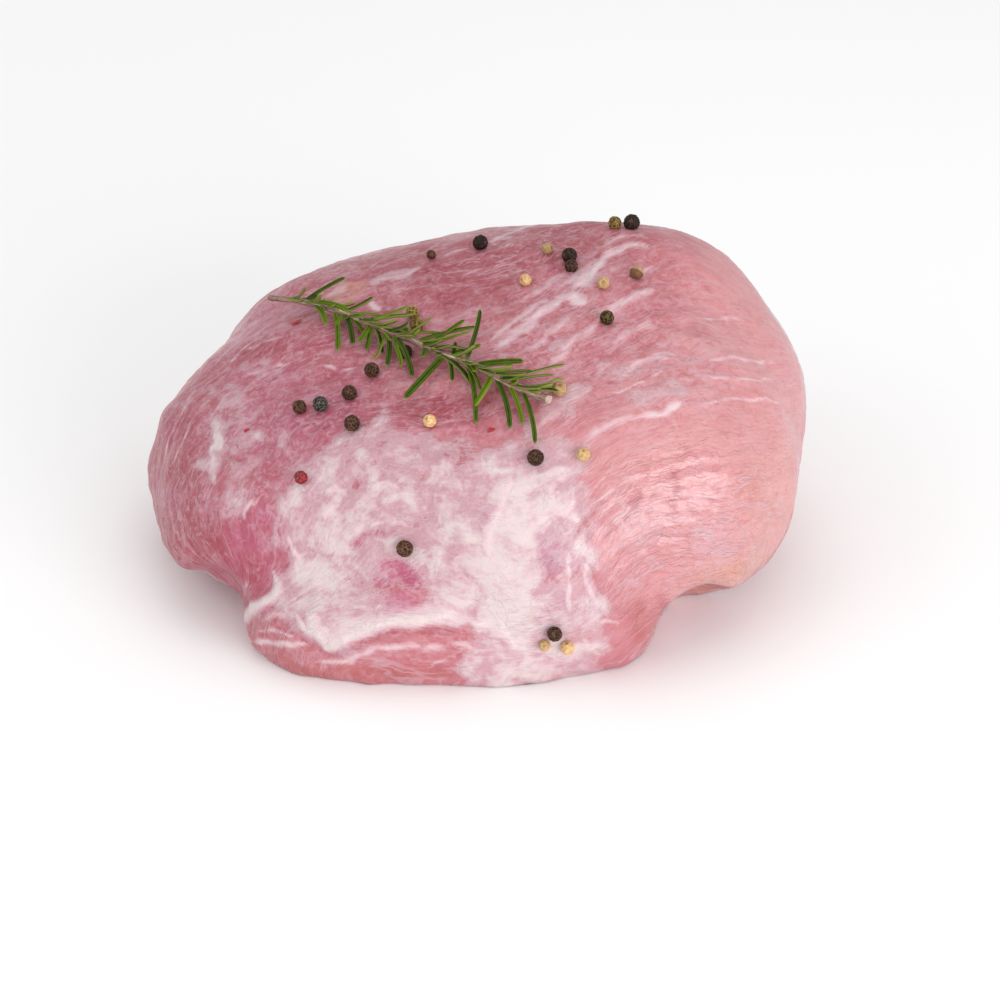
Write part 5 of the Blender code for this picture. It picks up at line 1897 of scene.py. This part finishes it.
class PORKLEG_OT_peppercorns(bpy.types.Operator):
    """Make the peppercorns, one piece for each kind"""

    bl_idname = "porkleg.peppercorns"
    bl_label = "Peppercorns"

    def execute(self, context):
        look = context.scene.pork_leg_pepper
        tree = peppercorn_tree()
        deep = look.ridge_depth
        rows = (
            ("black", look.black_colour, look.black_ridge, look.brown_ridge, 0.4, 0.2, deep, 2.6, 0.10),
            ("grey", look.black_colour, look.grey_ridge, look.grey_ridge, 0.4, 0.2, deep, 2.6, 0.10),
            ("brown", look.brown_colour, look.brown_ridge, look.black_ridge, 0.4, 0.2, deep, 2.4, 0.10),
            ("olive", look.olive_colour, look.olive_ridge, look.brown_ridge, 0.4, 0.2, deep, 2.2, 0.08),
            # White peppercorns, whole and half brown, have painted shade in their hollows.
            ("white", look.white_painted_shade, look.white_colour, look.husk_colour, 0.45, 0.2, 0.3 * deep, 1.2, 0.16),
            ("half", look.white_painted_shade, look.white_colour, look.husk_colour, 0.45, 0.2, 0.3 * deep, 1.2, 0.16),
            ("husk", look.husk_shade, look.husk_colour, look.white_colour, 0.5, 0.2, 0.9 * deep, 1.7, 0.20),
            ("red", look.red_shade, look.red_colour, look.red_colour, 0.2, 0.6, 1.4 * deep, 1.5, 0.20),
        )
        for kind, hollow, crest, speck, roughness, gloss, depth, size, dimple in rows:
            colours = [tuple(colour) for colour in (hollow, crest, speck, look.brown_ridge)]
            material = pepper_material("pepper " + kind, *colours, roughness, gloss, kind == "half")
            settle(peppercorn_piece(kind, tree, material, depth, size, dimple), "pork_leg")
        return {"FINISHED"}


class PORKLEG_OT_flakes(bpy.types.Operator):
    """Make the flakes of red husk that lie on the meat"""

    bl_idname = "porkleg.flakes"
    bl_label = "Red flakes"

    def execute(self, context):
        draw = random.Random(SEED + 9)
        work = bmesh.new()
        for _, place, length, width in RED_FLAKES:
            foot = onto_meat(np.array([place], dtype=float))[0]
            normal = Vector(skin_normal(foot))
            along = Vector((1.0, draw.uniform(-0.4, 0.4), 0.0))
            along = (along - normal * along.dot(normal)).normalized()
            side = normal.cross(along)
            made = bmesh.ops.create_icosphere(work, subdivisions=3, radius=1.0)["verts"]
            for vertex in made:
                x, y, z = vertex.co
                curl = 0.25 * width * (x * x - 0.4) + 0.2 * width * y * y
                edge = 1.0 + 0.18 * math.sin(3.0 * math.atan2(y, x) + length)
                spot = along * (x * length / 2.0 * edge) + side * (y * width / 2.0 * edge)
                vertex.co = Vector(foot) + spot + normal * (0.30 + 0.22 * z + curl)
        bmesh.ops.scale(work, vec=(MM, MM, MM), verts=work.verts)
        bmesh.ops.recalc_face_normals(work, faces=work.faces)
        for face in work.faces:
            face.smooth = True
        mesh = bpy.data.meshes.new("red_flakes")
        work.to_mesh(mesh)
        work.free()
        mesh.attributes.new("Ridge", "FLOAT", "POINT").data.foreach_set("value", [1.2] * len(mesh.vertices))
        mesh.materials.append(bpy.data.materials["pepper red"])
        piece = bpy.data.objects.new("red_flakes", mesh)
        context.scene.collection.objects.link(piece)
        settle(piece, "pork_leg")
        return {"FINISHED"}


class PORKLEG_OT_rosemary(bpy.types.Operator):
    """Make the stem and the needles of the rosemary sprig"""

    bl_idname = "porkleg.rosemary"
    bl_label = "Rosemary sprig"

    def execute(self, context):
        look = context.scene.pork_leg_sprig
        path, needles = sprig_lines()
        steps = len(path) - 1
        radii = [STEM_RADIUS_START + (STEM_RADIUS_END - STEM_RADIUS_START) * i / steps for i in range(steps + 1)]
        source = curve_object("stem line", [(path, radii, 0.0)])
        stem = grown(
            source, stem_tree(), "rosemary_stem", {"Bark depth": look.bark_depth, "Material": stem_material(look)}
        )
        draw = random.Random(SEED + 3)
        lines = []
        for axis, width in needles:
            lines.append((axis, [width * look.leaf_width / 2.0] * len(axis), draw.uniform(-0.8, 0.8)))
        source = curve_object("needle lines", lines)
        inputs = {"Thickness": look.leaf_thickness, "Groove": 0.34, "Hollow": 0.3, "Material": needle_material(look)}
        leaves = grown(source, needle_tree(), "rosemary_needles", inputs)
        settle(stem, "rosemary_sprig")
        settle(leaves, "rosemary_sprig")
        return {"FINISHED"}


def soft_light(name, place, aim, wide, tall, power):
    """A large rectangular light that points at the meat."""
    data = bpy.data.lights.new(name, "AREA")
    data.shape = "RECTANGLE"
    data.size = wide
    data.size_y = tall
    data.energy = power
    lamp = bpy.data.objects.new(name, data)
    lamp.location = place
    lamp.rotation_euler = (Vector(aim) - Vector(place)).to_track_quat("-Z", "Y").to_euler()
    bpy.context.scene.collection.objects.link(lamp)


class PORKLEG_OT_stage(bpy.types.Operator):
    """Make the floor, the lights and the camera"""

    bl_idname = "porkleg.stage"
    bl_label = "Stage"

    def execute(self, context):
        look = context.scene.pork_leg_stage
        half = look.floor_size / 2.0
        mesh = bpy.data.meshes.new("floor")
        corners = [(-half, -half, -0.0004), (half, -half, -0.0004), (half, half, -0.0004), (-half, half, -0.0004)]
        mesh.from_pydata(corners, [], [(0, 1, 2, 3)])
        made, tree, shader = new_material("Pale floor")
        shader.inputs["Base Color"].default_value = (*look.floor_colour, 1.0)
        shader.inputs["Roughness"].default_value = 0.9
        mesh.materials.append(made)
        floor = bpy.data.objects.new("floor", mesh)
        context.scene.collection.objects.link(floor)

        soft_light("Key light", (0.80, -1.15, 0.42), (0.0, 0.0, 0.04), 1.3, 0.74, look.key_power)
        soft_light("Fill light", (-1.2, -0.6, 0.9), (0.0, 0.0, 0.04), 1.2, 1.2, look.fill_power)
        soft_light("Top light", (0.1, 0.3, 1.5), (0.0, 0.0, 0.04), 1.2, 1.2, look.top_power)
        world = bpy.data.worlds.new("White room")
        world.use_nodes = True
        room = world.node_tree.nodes["Background"]
        room.inputs["Color"].default_value = (1.0, 1.0, 1.0, 1.0)
        room.inputs["Strength"].default_value = look.world_strength
        context.scene.world = world
        context.scene.view_settings.view_transform = "Standard"

        eye = camera_axes()[0] * MM
        data = bpy.data.cameras.new("Camera")
        data.sensor_width = SENSOR
        data.lens = LENS_PIXELS / PICTURE * SENSOR
        data.shift_x = (PICTURE / 2.0 - AIM_PIXEL[0]) / PICTURE
        data.shift_y = (AIM_PIXEL[1] - PICTURE / 2.0) / PICTURE
        camera = bpy.data.objects.new("Camera", data)
        camera.location = eye
        camera.rotation_euler = (math.radians(90.0 - CAMERA_TILT), 0.0, 0.0)
        context.scene.collection.objects.link(camera)
        context.scene.camera = camera
        return {"FINISHED"}


class PORKLEG_PT_panel(bpy.types.Panel):
    """Buttons and settings of the pork leg"""

    bl_idname = "PORKLEG_PT_panel"
    bl_label = "Raw Pork Leg"
    bl_space_type = "VIEW_3D"
    bl_region_type = "UI"
    bl_category = "Pork Leg"

    def draw(self, context):
        for operator, owner in STEPS:
            box = self.layout.box()
            box.operator(operator)
            if owner:
                group = getattr(context.scene, owner)
                for name in group.bl_rna.properties.keys():
                    if name not in ("rna_type", "name"):
                        box.prop(group, name)


STEPS = (
    ("porkleg.meat", "pork_leg_meat"),
    ("porkleg.peppercorns", "pork_leg_pepper"),
    ("porkleg.flakes", None),
    ("porkleg.rosemary", "pork_leg_sprig"),
    ("porkleg.stage", "pork_leg_stage"),
)
SETTINGS = {
    "pork_leg_meat": PorkLegMeatSettings,
    "pork_leg_pepper": PorkLegPepperSettings,
    "pork_leg_sprig": PorkLegSprigSettings,
    "pork_leg_stage": PorkLegStageSettings,
}
BUTTONS = (
    PORKLEG_OT_meat,
    PORKLEG_OT_peppercorns,
    PORKLEG_OT_flakes,
    PORKLEG_OT_rosemary,
    PORKLEG_OT_stage,
    PORKLEG_PT_panel,
)


def register():
    for name, kind in SETTINGS.items():
        bpy.utils.register_class(kind)
        setattr(bpy.types.Scene, name, bpy.props.PointerProperty(type=kind))
    for kind in BUTTONS:
        bpy.utils.register_class(kind)


def unregister():
    for kind in reversed(BUTTONS):
        bpy.utils.unregister_class(kind)
    for name, kind in SETTINGS.items():
        delattr(bpy.types.Scene, name)
        bpy.utils.unregister_class(kind)


def main():
    register()
    for operator, _ in STEPS:
        group, name = operator.split(".")
        getattr(getattr(bpy.ops, group), name)()


if __name__ == "__main__":
    main()
